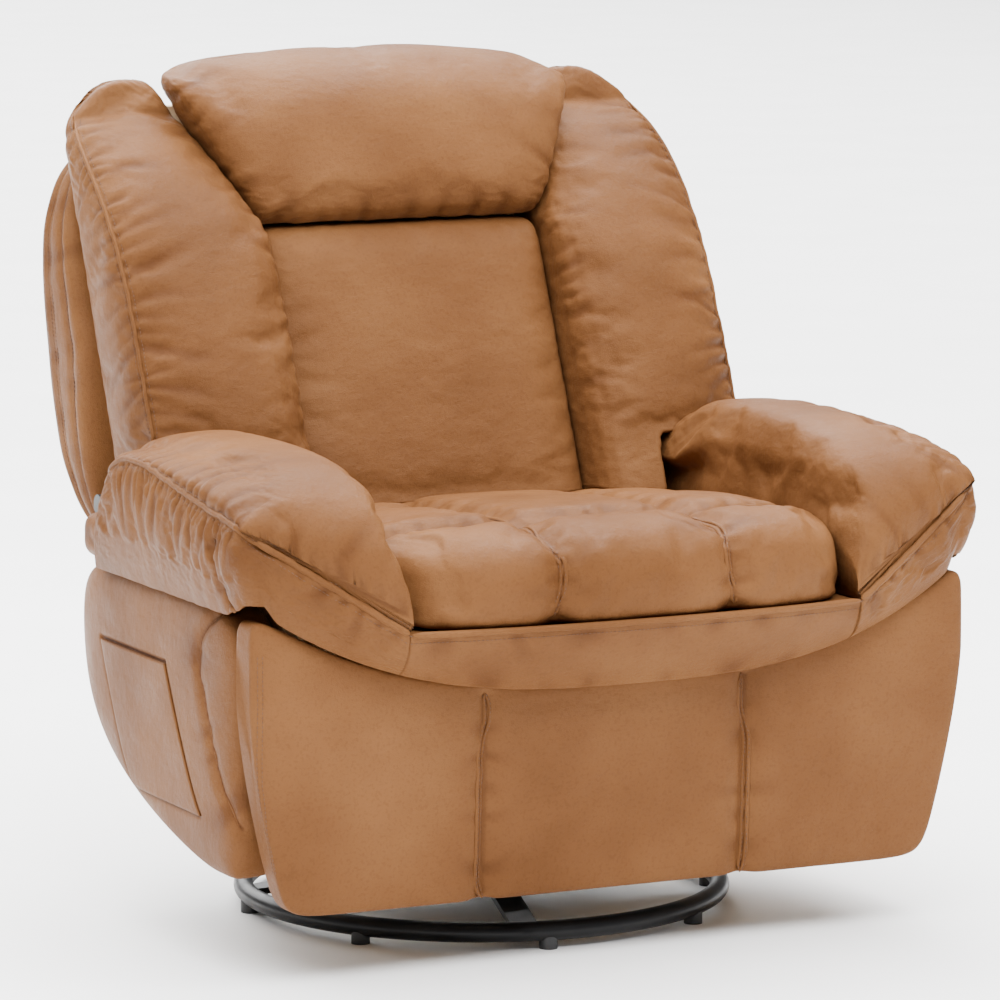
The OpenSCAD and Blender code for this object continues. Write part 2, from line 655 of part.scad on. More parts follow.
roll_in = 398;
roll_out = 452;
roll_sink = 2.6;
roll_top = 483;
roll_rear = 172;
module rear_roll() color(leather)
  padded(function(u, w, v) [
    mix(roll_in, roll_out, w), mix(band_rear + band_skew + seat_gap, roll_rear, v), mix(side_top + pad_gap - roll_sink, roll_top, u)
  ], 16, 3, 5, stations(4));
module rear_roll_left() rear_roll();
module rear_roll_right() mirror([1, 0, 0]) rear_roll();

// Side panels with a curved lower rear edge
side_sweep = 395;
side_wrap = rear_y - side_rear - seat_gap;
function side_rear_y(z) = side_rear - side_sweep * pow((side_top - z) / (side_top - side_low), 4.2);
function side_point(u, w, v) = let (z = mix(side_low, side_top, v))
  [mix(side_in, side_out, u), mix(-side_front, side_rear_y(z) + side_wrap * pow((1 - u) / 2, 1.5), w), z];
module side_body() padded(function(u, w, v) side_point(u, w, v), 20, 5, 6, stations(10));
lever_y = -60;
lever_z = 317;
lever_hub_r = 13;
lever_plate_r = 30;
lever_lip = 3;
module side_panel_left() color(leather) difference() {
  side_body();
  rod(side_in - over, side_out + over, [lever_y, lever_z], lever_plate_r);
}
// Outer face of the side panel, pushed out by d
function side_skin(y, z, d) = let (
  v = 2 * (z - side_low) / (side_top - side_low) - 1,
  w = 2 * (y + side_front) / (side_rear_y(z) + side_front) - 1,
  s = end_share(v, 6)
) mix(side_in, side_out, pow(max(0, pow(s, 5) - pow(abs(w), 5)), 1 / 5)) + d;
pocket_rear_high = 87;
pocket_rear_low = -10;
pocket_front_high = -111;
pocket_front_low = -215;
pocket_low = 179;
pocket_high = 341;
pocket_t = 4;
pocket_depth = 9;
pocket_slot = 8;
pocket_hem = 7;
function pocket_edge(high, low, z) = low + (high - low) * pow(max(0, z - pocket_low) / (pocket_high - pocket_low), 0.8);
module pocket_slab(inset, z0, z1, d0, d1) {
  rows = 9;
  cols = 6;
  skin([for (i = [0:rows]) let (
    z = z0 + (z1 - z0) * i / rows,
    a = pocket_edge(pocket_front_high, pocket_front_low, z) + inset,
    b = pocket_edge(pocket_rear_high, pocket_rear_low, z) - inset
  ) concat(
    [for (j = [0:cols]) let (y = a + (b - a) * j / cols) [side_skin(y, z, d1), y, z]],
    [for (j = [cols:-1:0]) let (y = a + (b - a) * j / cols) [side_skin(y, z, d0), y, z]]
  )]);
}
module side_panel_right() color(leather) mirror([1, 0, 0]) difference() {
  side_body();
  pocket_slab(-pad_gap, pocket_low, pocket_high + pocket_slot, -pocket_t - pocket_depth, over);
}
module side_pocket() color(leather) mirror([1, 0, 0]) difference() {
  pocket_slab(0, pocket_low + pad_gap, pocket_high, -pocket_t - pocket_depth + pad_gap, -pad_gap);
  pocket_slab(pocket_hem, pocket_low + pocket_hem, pocket_high + over, -pocket_t - pocket_depth - over, -pocket_t);
}
// Rear panel, swept forward towards its lower edge as the sides are
function rear_face_y(z) = rear_y - side_rear + side_rear_y(z);
module rear_panel() color(leather)
  padded(function(u, w, v) let (z = mix(rear_low, rear_top, w))
    [v * (side_in - seat_gap), mix(rear_face_y(z), rear_face_y(z) + rear_t, u), z], 20, 6, 12, stations(3));
module lever_plate() color(black_plastic) difference() {
  rod(side_in, side_out + lever_lip, [lever_y, lever_z], lever_plate_r);
  rod(side_in - over, side_out + lever_lip + over, [lever_y, lever_z], rivet_hole);
}
lever_reach = 92;
lever_t = 9;
lever_face = side_out + lever_lip + layer_gap;
module release_lever() color(black_plastic) {
  rod(side_in, lever_face, [lever_y, lever_z], rivet_r);
  translate([lever_face, 0, 0]) strap([lever_y, lever_z], [lever_y - lever_reach, lever_z + lever_hub_r], 2 * lever_hub_r, lever_t, []);
}

// Back
rear_apex_drop = 197;
rear_apex_z = chair_height - rear_apex_drop;
rear_depth = 223.5;
rear_apex = face_y(rear_apex_z) + rear_depth;
rear_drop = 156;
shell_front_low = 286;
shell_drop = 61;
shell_top = chair_height - shell_drop;
shell_half = 400;
function rear_face(z) = rear_apex - rear_drop * pow((z - rear_apex_z) / (rear_apex_z - shell_low), 2);
function shell_front(z) = max(frame_y(z) + back_frame_t + pad_gap, shell_front_low);
module back_shell() color(leather)
  padded(function(u, w, v) let (z = mix(shell_low + shell_trim, shell_top, v))
    [u * shell_half, mix(min(shell_front(z), rear_face(z) - back_frame_t), rear_face(z), w), z],
    20, 4, 4, stations(9));
frame_bottom = 411;
frame_drop = 65;
frame_top = chair_height - frame_drop;
frame_half_back = 340;
frame_border = 45;
module back_frame() color(timber) difference() {
  translate([-frame_half_back, 0, 0]) rotate([90, 0, 90]) linear_extrude(2 * frame_half_back) polygon([
    [frame_y(frame_bottom), frame_bottom], [frame_y(frame_top), frame_top],
    [frame_y(frame_top) + back_frame_t, frame_top], [frame_y(frame_bottom) + back_frame_t, frame_bottom]
  ]);
  translate([-back_half + frame_border, 0, face_z0 + frame_border])
    cube([2 * (back_half - frame_border), arm_half, pillow_z - face_z0 - 2 * frame_border]);
}
back_crown = 8;
// Front plane of the back's padding, drawn in behind the seat and the arms
tuck_gap = 5;
tuck_rise = 42;
tuck_low = 440;
seat_tuck_z = seat_top - seat_drop + back_crown;
arm_tuck_z = arm_top - back_crown;
function tuck(x) = smooth_step((abs(x) - seat_half + pad_overhang + 4 * tuck_gap) / (4 * tuck_gap));
function tucked(y, x, z) = let (
  t = tuck(x),
  high = seat_tuck_z + (arm_tuck_z - seat_tuck_z) * t,
  back_y = arm_end(x) + tuck_gap
) y > back_y ? y : back_y + (y - back_y) * smooth_step((z - high) / tuck_rise);
function back_outline(n, e) = ring_shares(n, e, 1);
module back_cushion() color(leather)
  bag(function(u, w, v) let (z = mix(tuck_low, pillow_z - pad_gap, v))
    [u * (back_half - pad_gap), mix(tucked(face_y(z) - back_crown, 0, z), frame_y(z) - pad_gap, w), z],
    back_outline(24, 7), [40, 20], [40, 12],
    [-0.9995, -0.8, -0.72, -0.66, -0.6, -0.54, -0.48, -0.4, -0.2, 0.1, 0.4, 0.65, 0.82, 0.92, 0.97, 0.99, 0.9995]);
pillow_half_low = 190;
pillow_half_top = 284;
pillow_bulge = 30;
pillow_crown = 16;
function pillow_half(z) = pillow_half_low + (pillow_half_top - pillow_half_low) * (z - pillow_z) / (chair_height - pillow_z);
module head_pillow() color(leather)
  bag(function(u, w, v) let (z = mix(pillow_z, chair_height - pillow_crown * u * u, v))
    [u * pillow_half(z), mix(face_y(z) - pillow_bulge, frame_y(z) - pad_gap, w), z],
    back_outline(28, 3.6), [40, 8], [5, 3],
    [-0.9995, -0.98, -0.94, -0.86, -0.74, -0.55, -0.3, 0, 0.25, 0.45, 0.62, 0.76, 0.87, 0.94, 0.98, 0.997]);
wing_drop = 31;
wing_top = chair_height - wing_drop;
wing_welt_z = 573;
wing_welt_y = 82;
wing_span = 359;
wing_fall = 62;
wing_fall_x = 250;
wing_lean = 150;
wing_curl = 127;
wing_bulge = 30;
wing_welt_share = -0.63;
function wing_welt(z) = let (s = (z - wing_welt_z) / wing_span) wing_welt_y + wing_lean * s + wing_curl * pow(s, 4);
function wing_in(z) = max(back_half, pillow_half(z)) + pad_gap;
// Wing section from its inner seam over the front roll to the welt, then the side gusset
wing_outline_shares = [
  [-1, -0.2], [-0.985, -0.5], [-0.93, -0.74], [-0.82, -0.89], [-0.62, -0.97], [-0.35, -1], [-0.05, -1],
  [0.25, -0.97], [0.52, -0.9], [0.74, -0.8], [0.9, -0.7], [0.98, wing_welt_share],
  [1, -0.4], [1, 0], [0.99, 0.6], [0.94, 1], [0, 1], [-0.9, 1], [-0.98, 0.5]
];
module wing() color(leather)
  bag(function(u, w, v) let (
    x0 = mix(back_half, wing_half, u),
    z = mix(tuck_low, wing_top - wing_fall * pow(max(0, (x0 - wing_fall_x) / (wing_half - wing_fall_x)), 2.2), v),
    x = mix(wing_in(z), wing_half, u)
  ) [x, mix(tucked(min(wing_welt(z), frame_y(z)) - wing_bulge, x, z), frame_y(z) - pad_gap, w), z],
    wing_outline_shares, [40, 9], [40, 5],
    [-0.9995, -0.84, -0.76, -0.7, -0.64, -0.58, -0.52, -0.46, -0.4, -0.34, -0.28, -0.2, -0.05, 0.2, 0.45, 0.65, 0.8, 0.9, 0.96, 0.99, 0.9995]);
module wing_left() wing();
module wing_right() mirror([1, 0, 0]) wing();

hinge_plate_x = frame_half_back;
cap_y = 262;
cap_z = 475;
cap_r = 13;
cap_inset = 4;
module hinge_brackets() color(black_metal) both_sides() difference() {
  translate([hinge_plate_x, 0, 0]) rotate([90, 0, 90]) linear_extrude(hinge_t) union() {
    translate([recline_y, recline_z]) circle(hinge_r * 2.2);
    polygon([
      [recline_y - hinge_r * 2.2, recline_z], [recline_y + hinge_r * 2.2, recline_z],
      [cap_y + cap_r, cap_z], [frame_y(face_z0) + back_frame_t, face_z0], [frame_y(face_z0), face_z0],
      [frame_y(frame_bottom), frame_bottom]
    ]);
  }
  rod(hinge_plate_x - over, hinge_plate_x + hinge_t + over, [recline_y, recline_z], hinge_r + run_gap);
}
module hinge_caps() color(black_plastic) both_sides() rod(hinge_plate_x + hinge_t, wing_half - cap_inset, [cap_y, cap_z], cap_r);
module recline_pins() color(steel) both_sides() {
  rod(hinge_plate_x - link_t, hinge_plate_x, [recline_y, recline_z], hinge_r * 1.4);
  rod(hinge_plate_x, arm_outer - arm_board_t, [recline_y, recline_z], hinge_r);
}

base_ring();
base_feet();
bearing_lower_race();
bearing_balls();
swivel_spindle();
bearing_upper_race();
turntable_plate();
spindle_nut();
glide_stands();
glide_upper_pins();
front_glide_links();
rear_glide_links();
glide_rails();
cross_tubes();
mechanism_plates();
seat_frame();
seat_springs();
seat_cushion();
seat_lip();
arm_frame_left();
arm_frame_right();
arm_pad_left();
arm_pad_right();
arm_band_left();
arm_band_right();
rear_roll_left();
rear_roll_right();
side_panel_left();
side_panel_right();
side_pocket();
rear_panel();
lever_plate();
back_frame();
back_shell();
back_cushion();
head_pillow();
wing_left();
wing_right();
hinge_brackets();
hinge_caps();
recline_pins();
footrest_rear_links();
footrest_slide_links();
footrest_front_links();
footrest_cross_links();
footrest_closing_links();
footrest_brackets();
footrest_board();
footrest_pad();
release_lever();
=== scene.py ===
import math
import bmesh
import bpy
import numpy as np
from mathutils import Matrix, Vector
from mathutils.bvhtree import BVHTree


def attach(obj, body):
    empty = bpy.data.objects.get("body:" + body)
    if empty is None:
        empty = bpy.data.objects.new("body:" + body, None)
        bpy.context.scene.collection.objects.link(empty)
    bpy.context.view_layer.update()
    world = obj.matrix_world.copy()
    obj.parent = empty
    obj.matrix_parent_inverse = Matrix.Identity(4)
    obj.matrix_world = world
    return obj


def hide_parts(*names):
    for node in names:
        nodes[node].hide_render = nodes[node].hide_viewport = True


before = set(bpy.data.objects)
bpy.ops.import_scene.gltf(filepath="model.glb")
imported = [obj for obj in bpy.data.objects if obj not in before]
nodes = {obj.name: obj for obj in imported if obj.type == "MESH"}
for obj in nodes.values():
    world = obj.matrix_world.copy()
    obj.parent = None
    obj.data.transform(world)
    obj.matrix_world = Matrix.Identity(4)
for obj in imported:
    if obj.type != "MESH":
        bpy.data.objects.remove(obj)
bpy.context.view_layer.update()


# Camera: a long lens standing about seven metres away, a little above the
# seat and turned towards the sitter's right side of the chair.
view_turn = math.radians(25.845633)
view_fall = math.radians(8.024918)
view_distance = 6.856465
view_right = Vector((math.cos(view_turn), -math.sin(view_turn), 0.0))
view_ahead = Vector((math.cos(view_fall) * math.sin(view_turn), math.cos(view_fall) * math.cos(view_turn),
                     -math.sin(view_fall)))
view_up = view_right.cross(view_ahead)
view_target = Vector((0.0, 0.0, 0.487)) + 0.0225559 * view_right + 0.00331218 * view_up
camera_data = bpy.data.cameras.new("studio_camera")
camera_data.sensor_width = 36.0
camera_data.lens = 204.4065
camera_data.clip_end = 200.0
camera = bpy.data.objects.new("studio_camera", camera_data)
turned = Matrix((view_right, view_up, -view_ahead)).transposed().to_4x4()
camera.matrix_world = Matrix.Translation(view_target - view_distance * view_ahead) @ turned
bpy.context.scene.collection.objects.link(camera)
bpy.context.scene.camera = camera


# Studio: a pale seamless floor, a white surround, a lit ceiling and four soft lamps.
# The floor is matte paper with the faintest mottling.
def wire(tree, start, out, end, into):
    tree.links.new(start.outputs[out], end.inputs[into])


def noise(tree, scale, detail=3.0, stretch=(1.0, 1.0, 1.0)):
    """Noise in object coordinates; scale counts per metre."""
    place = tree.nodes.new("ShaderNodeTexCoord")
    mapping = tree.nodes.new("ShaderNodeMapping")
    mapping.inputs["Scale"].default_value = stretch
    made = tree.nodes.new("ShaderNodeTexNoise")
    made.inputs["Scale"].default_value = scale
    made.inputs["Detail"].default_value = detail
    wire(tree, place, "Object", mapping, "Vector")
    wire(tree, mapping, "Vector", made, "Vector")
    return made


def ramp(tree, source, stops):
    """A colour ramp over a noise; stops are (place, colour)."""
    made = tree.nodes.new("ShaderNodeValToRGB")
    band = made.color_ramp
    while len(band.elements) < len(stops):
        band.elements.new(0.5)
    for element, (place, colour) in zip(band.elements, stops):
        element.position, element.color = place, (*colour, 1.0)
    wire(tree, source, "Fac", made, "Fac")
    return made


def spread(tree, source, out, low, high, from_low=0.3, from_high=0.7):
    """Maps a grey value to a range, for roughness or height."""
    made = tree.nodes.new("ShaderNodeMapRange")
    for label, value in (("From Min", from_low), ("From Max", from_high), ("To Min", low), ("To Max", high)):
        made.inputs[label].default_value = value
    wire(tree, source, out, made, "Value")
    return made


def add_bump(tree, shader, source, out, depth):
    """Stacks one bump under those already on the shader."""
    made = tree.nodes.new("ShaderNodeBump")
    made.inputs["Distance"].default_value = depth
    wire(tree, source, out, made, "Height")
    if shader.inputs["Normal"].is_linked:
        tree.links.new(shader.inputs["Normal"].links[0].from_socket, made.inputs["Normal"])
    wire(tree, made, "Normal", shader, "Normal")


def finish(name, cloud, stops, roughness=0.5, sheen=None, grain=None, depth=0.0, metallic=0.0, specular=0.5):
    """A material: its colours follow one noise, its roughness a second one,
    spread over the range that roughness gives, and its bump a third one."""
    made = bpy.data.materials.new(name)
    made.use_nodes = True
    tree = made.node_tree
    shader = tree.nodes["Principled BSDF"]
    shader.inputs["Metallic"].default_value = metallic
    shader.inputs["Specular IOR Level"].default_value = specular
    wire(tree, ramp(tree, noise(tree, *cloud), stops), "Color", shader, "Base Color")
    if sheen:
        wire(tree, spread(tree, noise(tree, *sheen), "Fac", *roughness), "Result", shader, "Roughness")
    else:
        shader.inputs["Roughness"].default_value = roughness
    if grain:
        add_bump(tree, shader, noise(tree, *grain), "Fac", depth)
    return made


def new_piece(name, mesh):
    piece = bpy.data.objects.new(name, mesh)
    bpy.context.scene.collection.objects.link(piece)
    return piece


floor_mesh = bpy.data.meshes.new("floor")
floor_reach = 60.0
corners = ((-1, -1), (1, -1), (1, 1), (-1, 1))
floor_mesh.from_pydata([(x * floor_reach, y * floor_reach, 0.0) for x, y in corners], [], [(0, 1, 2, 3)])
floor_mesh.materials.append(finish("pale_floor", (2.5, 2.0), [(0.35, (0.90,) * 3), (0.65, (0.93,) * 3)], 0.75))
new_piece("floor", floor_mesh)
surround = bpy.data.worlds.new("white_surround")
surround.use_nodes = True
surround.node_tree.nodes["Background"].inputs["Color"].default_value = (1.0, 1.0, 1.0, 1.0)
surround.node_tree.nodes["Background"].inputs["Strength"].default_value = 0.30
bpy.context.scene.world = surround


def soft_lamp(name, place, aim, size, power):
    lamp = bpy.data.lights.new(name, "AREA")
    lamp.shape = "RECTANGLE"
    lamp.size, lamp.size_y = size
    lamp.energy = power
    holder = new_piece(name, lamp)
    holder.location = place
    holder.rotation_euler = (Vector(aim) - Vector(place)).to_track_quat("-Z", "Y").to_euler()


chair_middle = (0.0, 0.0, 0.5)
soft_lamp("studio_ceiling", (0.0, 18.0, 12.0), (0.0, 18.0, 0.0), (24.0, 60.0), 36000.0)
soft_lamp("key_lamp", (-0.7, -3.2, 4.0), chair_middle, (2.8, 2.2), 150.0)
soft_lamp("side_lamp", (-4.2, -0.6, 2.2), chair_middle, (1.6, 2.6), 3.0)
soft_lamp("fill_lamp", (3.8, -2.6, 1.9), chair_middle, (2.2, 2.2), 8.0)
soft_lamp("top_lamp", (0.4, 1.6, 3.8), (0.0, 0.1, 0.6), (2.6, 2.0), 150.0)


# Base ring, turntable and glide: steel tube, strip and plate, welded, then
# powder coated satin black in an oven. The spokes are flat bars welded to the hub.
def dress(names, material):
    """Gives CAD nodes that keep their shape their real finish."""
    for name in names:
        mesh = nodes[name].data
        mesh.materials.clear()
        mesh.materials.append(material)


dress(["base_ring", "turntable_plate", "glide_stands", "front_glide_links", "rear_glide_links", "glide_rails",
       "mechanism_plates", "hinge_brackets"],
      finish("powder_coat", (18.0, 4.0), [(0.3, (0.004, 0.004, 0.0045)), (0.7, (0.008, 0.008, 0.0085))],
             (0.30, 0.46), (18.0, 4.0), (700.0, 2.0), 0.00006, specular=0.22))


# Feet and trim: injection-moulded black plastic glides pressed under the ring,
# hinge caps and the release lever with its escutcheon, all finely textured.
dress(["base_feet", "hinge_caps", "recline_pins", "lever_plate", "release_lever"],
      finish("moulded_plastic", (30.0, 3.0), [(0.3, (0.016, 0.016, 0.017)), (0.7, (0.026, 0.026, 0.027))],
             (0.42, 0.58), (30.0, 3.0), (1400.0, 2.0), 0.00009))


# Bearing, spindle, pins and footrest links: bright zinc-plated steel, rolled
# or pressed, with a faint blue passivation and drawing marks along X.
drawing_marks = (60.0, 4.0, (1.0, 14.0, 14.0))
dress(["bearing_lower_race", "bearing_balls", "bearing_upper_race", "swivel_spindle", "spindle_nut",
       "glide_upper_pins", "cross_tubes", "seat_springs", "footrest_rear_links", "footrest_slide_links",
       "footrest_front_links", "footrest_cross_links", "footrest_closing_links", "footrest_brackets"],
      finish("plated_steel", (26.0, 3.0), [(0.3, (0.47, 0.47, 0.46)), (0.7, (0.60, 0.61, 0.63))],
             (0.24, 0.42), drawing_marks, drawing_marks, 0.00005, metallic=1.0))


# Timber frames: rails of the seat box, arm boards, back frame and footrest
# board, cut from plywood and pine, glued and stapled, left unfinished.
fibres = (120.0, 4.0, (0.2, 3.0, 3.0))
dress(["seat_frame", "arm_frame_left", "arm_frame_right", "back_frame", "footrest_board"],
      finish("bare_timber", (9.0, 6.0, (1.0, 9.0, 9.0)),
             [(0.3, (0.52, 0.36, 0.20)), (0.5, (0.66, 0.49, 0.30)), (0.7, (0.74, 0.58, 0.38))],
             (0.6, 0.78), fibres, fibres, 0.0003))


# Leather: corrected-grain upholstery hide, dyed caramel through a drum and
# finished with a satin coat. Its colour carries painted shade: it is mixed
# towards a dark brown in seams, in gathered pleats and in seam grooves.
def blended(tree, kind):
    made = tree.nodes.new("ShaderNodeMix")
    made.data_type, made.blend_type = "RGBA", kind
    return made


def dyed_leather():
    made = finish("caramel_leather", (5.0, 5.0),
                  [(0.30, (0.098, 0.0390, 0.0130)), (0.50, (0.124, 0.0510, 0.0180)),
                   (0.72, (0.155, 0.0670, 0.0245))], (0.34, 0.47), (14.0, 4.0), specular=0.045)
    tree = made.node_tree
    shader = tree.nodes["Principled BSDF"]
    tone = shader.inputs["Base Color"].links[0].from_node
    # Painted shade: a per-vertex attribute, laid in seams, pleats and seam grooves, mixes the colour towards a
    # dark brown.
    shade_attribute = tree.nodes.new("ShaderNodeAttribute")
    shade_attribute.attribute_name = "painted_seam_shade"
    flecks = ramp(tree, noise(tree, 260.0, 3.0), [(0.34, (0.82, 0.80, 0.78)), (0.48, (1.0, 1.0, 1.0))])
    fine = blended(tree, "MULTIPLY")
    fine.inputs["Factor"].default_value = 0.55
    wire(tree, tone, "Color", fine, "A")
    wire(tree, flecks, "Color", fine, "B")
    shade = blended(tree, "MIX")
    wire(tree, shade_attribute, "Fac", shade, "Factor")
    wire(tree, fine, "Result", shade, "A")
    # The dark brown of the painted shade.
    shade.inputs["B"].default_value = (0.030, 0.0070, 0.0018, 1.0)
    wire(tree, shade, "Result", shader, "Base Color")
    cells = tree.nodes.new("ShaderNodeTexVoronoi")
    cells.feature = "DISTANCE_TO_EDGE"
    cells.inputs["Scale"].default_value = 520.0
    bent = tree.nodes.new("ShaderNodeVectorMath")
    bent.operation = "MULTIPLY_ADD"
    bent.inputs[1].default_value = (0.003, 0.003, 0.003)
    wire(tree, noise(tree, 180.0, 2.0), "Color", bent, 0)
    wire(tree, tree.nodes.new("ShaderNodeTexCoord"), "Object", bent, 2)
    wire(tree, bent, "Vector", cells, "Vector")
    add_bump(tree, shader, spread(tree, cells, "Distance", 0.0, 1.0, 0.0, 0.35), "Result", 0.00022)
    add_bump(tree, shader, noise(tree, 75.0, 5.0), "Fac", 0.0011)
    add_bump(tree, shader, noise(tree, 22.0, 3.0, (1.0, 1.0, 1.6)), "Fac", 0.0022)
    return made


leather = dyed_leather()
MM = 0.001


def mix(low, high, share):
    """Between low and high as share goes from -1 to 1."""
    return low + (high - low) * (share + 1.0) / 2.0


def dent(distance, width):
    return np.exp(-(distance / width) ** 2)


def end_share(along, power):
    return np.maximum(0.0, 1.0 - np.abs(along) ** power) ** (1.0 / power)


def even_ring(count, power, width, height):
    """Points round a superellipse, evenly spaced on the real section."""
    angle = np.linspace(0.0, 2.0 * math.pi, 8001)[:-1]
    c, s = np.cos(angle), np.sin(angle)
    x = np.sign(c) * np.abs(c) ** (2.0 / power)
    y = np.sign(s) * np.abs(s) ** (2.0 / power)
    step = np.hypot(np.diff(np.append(x, x[0])) * width, np.diff(np.append(y, y[0])) * height)
    run = np.concatenate([[0.0], np.cumsum(step)])
    places = np.linspace(0.0, run[-1], count + 1)[:-1]
    x, y = np.append(x, x[0]), np.append(y, y[0])
    return np.interp(places, run, x), np.interp(places, run, y)


def closer_ends(count, power, reach=0.9996):
    """Stations from end to end, closing up where the form turns in."""
    s = np.linspace(-1.0, 1.0, count)
    bend = 1.0 - (1.0 - np.abs(s)) ** (1.0 + 2.2 / power * 3.0)
    return np.sign(s) * (0.55 * np.abs(s) + 0.45 * bend) * reach


def closed_mesh(name, points, faces):
    """A smooth mesh in metres, its faces turned outward."""
    mesh = bpy.data.meshes.new(name)
    mesh.from_pydata(points.tolist(), [], faces)
    mesh.polygons.foreach_set("use_smooth", [True] * len(mesh.polygons))
    shape = bmesh.new()
    shape.from_mesh(mesh)
    bmesh.ops.recalc_face_normals(shape, faces=shape.faces)
    shape.to_mesh(mesh)
    shape.free()
    return mesh


def grid_mesh(name, rings):
    """A closed skin over rings of points (rows, around, 3), in metres."""
    rows, around = rings.shape[:2]
    grid = np.arange(rows * around).reshape(rows, around)
    after = np.roll(grid, -1, axis=1)
    quads = np.stack([grid[:-1], after[:-1], after[1:], grid[1:]], axis=-1).reshape(-1, 4).tolist()
    centre = rows * around
    caps = []
    for j, k in zip(grid[0].tolist(), after[0].tolist()):
        caps += [(centre, k, j), (centre + 1, centre - around + j, centre - around + k)]
    points = np.vstack([rings.reshape(-1, 3), rings[0].mean(0), rings[-1].mean(0)])
    return closed_mesh(name, points, quads + caps)


def row_weights(fine, coarse, closed):
    """Cubic weights that carry values from coarse rows or columns to fine ones."""
    place = np.arange(fine) * (coarse / fine if closed else (coarse - 1) / (fine - 1))
    grid = np.abs(place[:, None] - np.arange(coarse)[None, :])
    if closed:
        grid = np.minimum(grid, coarse - grid)
    near = np.clip(2.0 - grid, 0.0, None) ** 3 / 6.0
    near = near - 4.0 * np.clip(1.0 - grid, 0.0, None) ** 3 / 6.0
    return near / near.sum(axis=1)[:, None]


cloth_frames = 20


def swelled(rings, held, cap, grow, seed):
    """How far a cover moves when it is cut a little too large, sewn down where
    held is 1 and blown up from inside by its filling. A cloth simulation."""
    rows, around = rings.shape[:2]
    trial = new_piece("cover_trial", grid_mesh("cover_trial", rings * MM))
    start = points_of(trial)
    chance = np.random.default_rng(seed)
    lift = normals_of(trial) * (0.0008 * chance.uniform(-1.0, 1.0, len(start)))[:, None]
    set_points(trial, start + lift)
    group = trial.vertex_groups.new(name="held")
    for k, weight in enumerate(np.append(held.ravel(), [1.0, 1.0])):
        if weight > 0.02:
            group.add([k], float(weight), "REPLACE")
    cloth = trial.modifiers.new("filling", "CLOTH")
    rules = cloth.settings
    for label, value in (("quality", 4), ("mass", 0.4), ("tension_stiffness", 18.0),
                         ("compression_stiffness", 18.0), ("shear_stiffness", 8.0), ("bending_stiffness", 0.6),
                         ("shrink_min", -grow), ("use_pressure", True), ("uniform_pressure_force", 4.0),
                         ("pin_stiffness", 3.0), ("vertex_group_mass", "held")):
        setattr(rules, label, value)
    rules.effector_weights.gravity = 0.0
    cloth.collision_settings.use_collision = False
    cloth.point_cache.frame_start, cloth.point_cache.frame_end = 1, cloth_frames
    stage = bpy.context.scene
    for step in range(1, cloth_frames + 1):
        stage.frame_set(step)
    done = trial.evaluated_get(bpy.context.evaluated_depsgraph_get()).data
    out = read_points(done, "co")
    stage.frame_set(1)
    move = (out - start)[:-2].reshape(rows, around, 3) / MM
    bpy.data.objects.remove(trial)
    size = np.linalg.norm(move, axis=2, keepdims=True)
    return move * (cap * np.tanh(size / cap) / np.maximum(size, 1e-9))


def sewn_form(name, shape, around, rows, held=None, cap=9.0, grow=0.03, seed=1, coarse=0.42):
    """A cover from shape(around, rows), filled by simulation where held is given."""
    rings = shape(around, rows)
    if held is not None:
        few_around, few_rows = int(around * coarse), int(rows * coarse)
        few = shape(few_around, few_rows)
        move = swelled(few, held(few), cap, grow, seed)
        rings = rings + np.einsum("ri,ijk,aj->rak", row_weights(rows, few_rows, False), move,
                                  row_weights(around, few_around, True))
    return new_piece(name, grid_mesh(name, rings * MM))


def ring_section(power, width, height):
    return lambda around: even_ring(around, power, width, height)


def padded_rings(point, section, end_power, reach=0.9996):
    """Sections carried along v by the map point(u, w, v), rounded off at both ends."""
    def shape(around, rows):
        u, w = section(around)
        rings = []
        for v in closer_ends(rows, end_power, reach):
            s = end_share(v, end_power)
            rings.append(np.stack(point(s * u, s * w, np.full_like(u, v)), axis=1))
        return np.array(rings)
    return shape


def two_ends(v, low_power, high_power):
    return np.where(np.asarray(v) < 0, end_share(v, low_power), end_share(v, high_power))


def bag_rings(point, section, side_powers, depth_powers, low_power, high_power):
    """Sections that keep their rear line while they close towards both ends."""
    def shape(around, rows):
        u, w = section(around)
        rings = []
        for v in two_powers(rows, low_power, high_power):
            su, sw = two_ends(v, *side_powers), two_ends(v, *depth_powers)
            rings.append(np.stack(point(u * su, 1.0 + (w - 1.0) * sw, np.full_like(u, v)), axis=1))
        return np.array(rings)
    return shape


def loop_section(shares, width, height, passes):
    """Evenly spaced points round an outline given as shares, its corners eased."""
    def section(around):
        loop = np.array(shares + [shares[0]], float)
        run = run_along(loop * [width, height])
        places = np.linspace(0.0, run[-1], 481)[:-1]
        u, w = np.interp(places, run, loop[:, 0]), np.interp(places, run, loop[:, 1])
        for _ in range(passes):
            u, w = (0.5 * a + 0.25 * (np.roll(a, 1) + np.roll(a, -1)) for a in (u, w))
        pick = np.linspace(0.0, 480.0, around + 1)[:-1]
        return tuple(np.interp(pick, np.arange(481), np.append(a, a[0])) for a in (u, w))
    return section


def two_powers(rows, low_power, high_power, reach=0.9993):
    """Stations that close up by one power at the low end and another at the high."""
    low, high = closer_ends(rows, low_power, reach), closer_ends(rows, high_power, reach)
    return np.where(low < 0, low, high)


def smooth_step(t):
    t = np.clip(t, 0.0, 1.0)
    return t * t * (3.0 - 2.0 * t)


def flipped(shape, side):
    """The same rings on the sitter's other side."""
    return lambda around, rows: shape(around, rows) * np.array([side, 1.0, 1.0])


def read_points(mesh, label):
    out = np.empty(len(mesh.vertices) * 3)
    mesh.vertices.foreach_get(label, out)
    return out.reshape(-1, 3)


def points_of(piece):
    return read_points(piece.data, "co")


def normals_of(piece):
    return read_points(piece.data, "normal")


def set_points(piece, points):
    piece.data.vertices.foreach_set("co", points.ravel())
    piece.data.update()


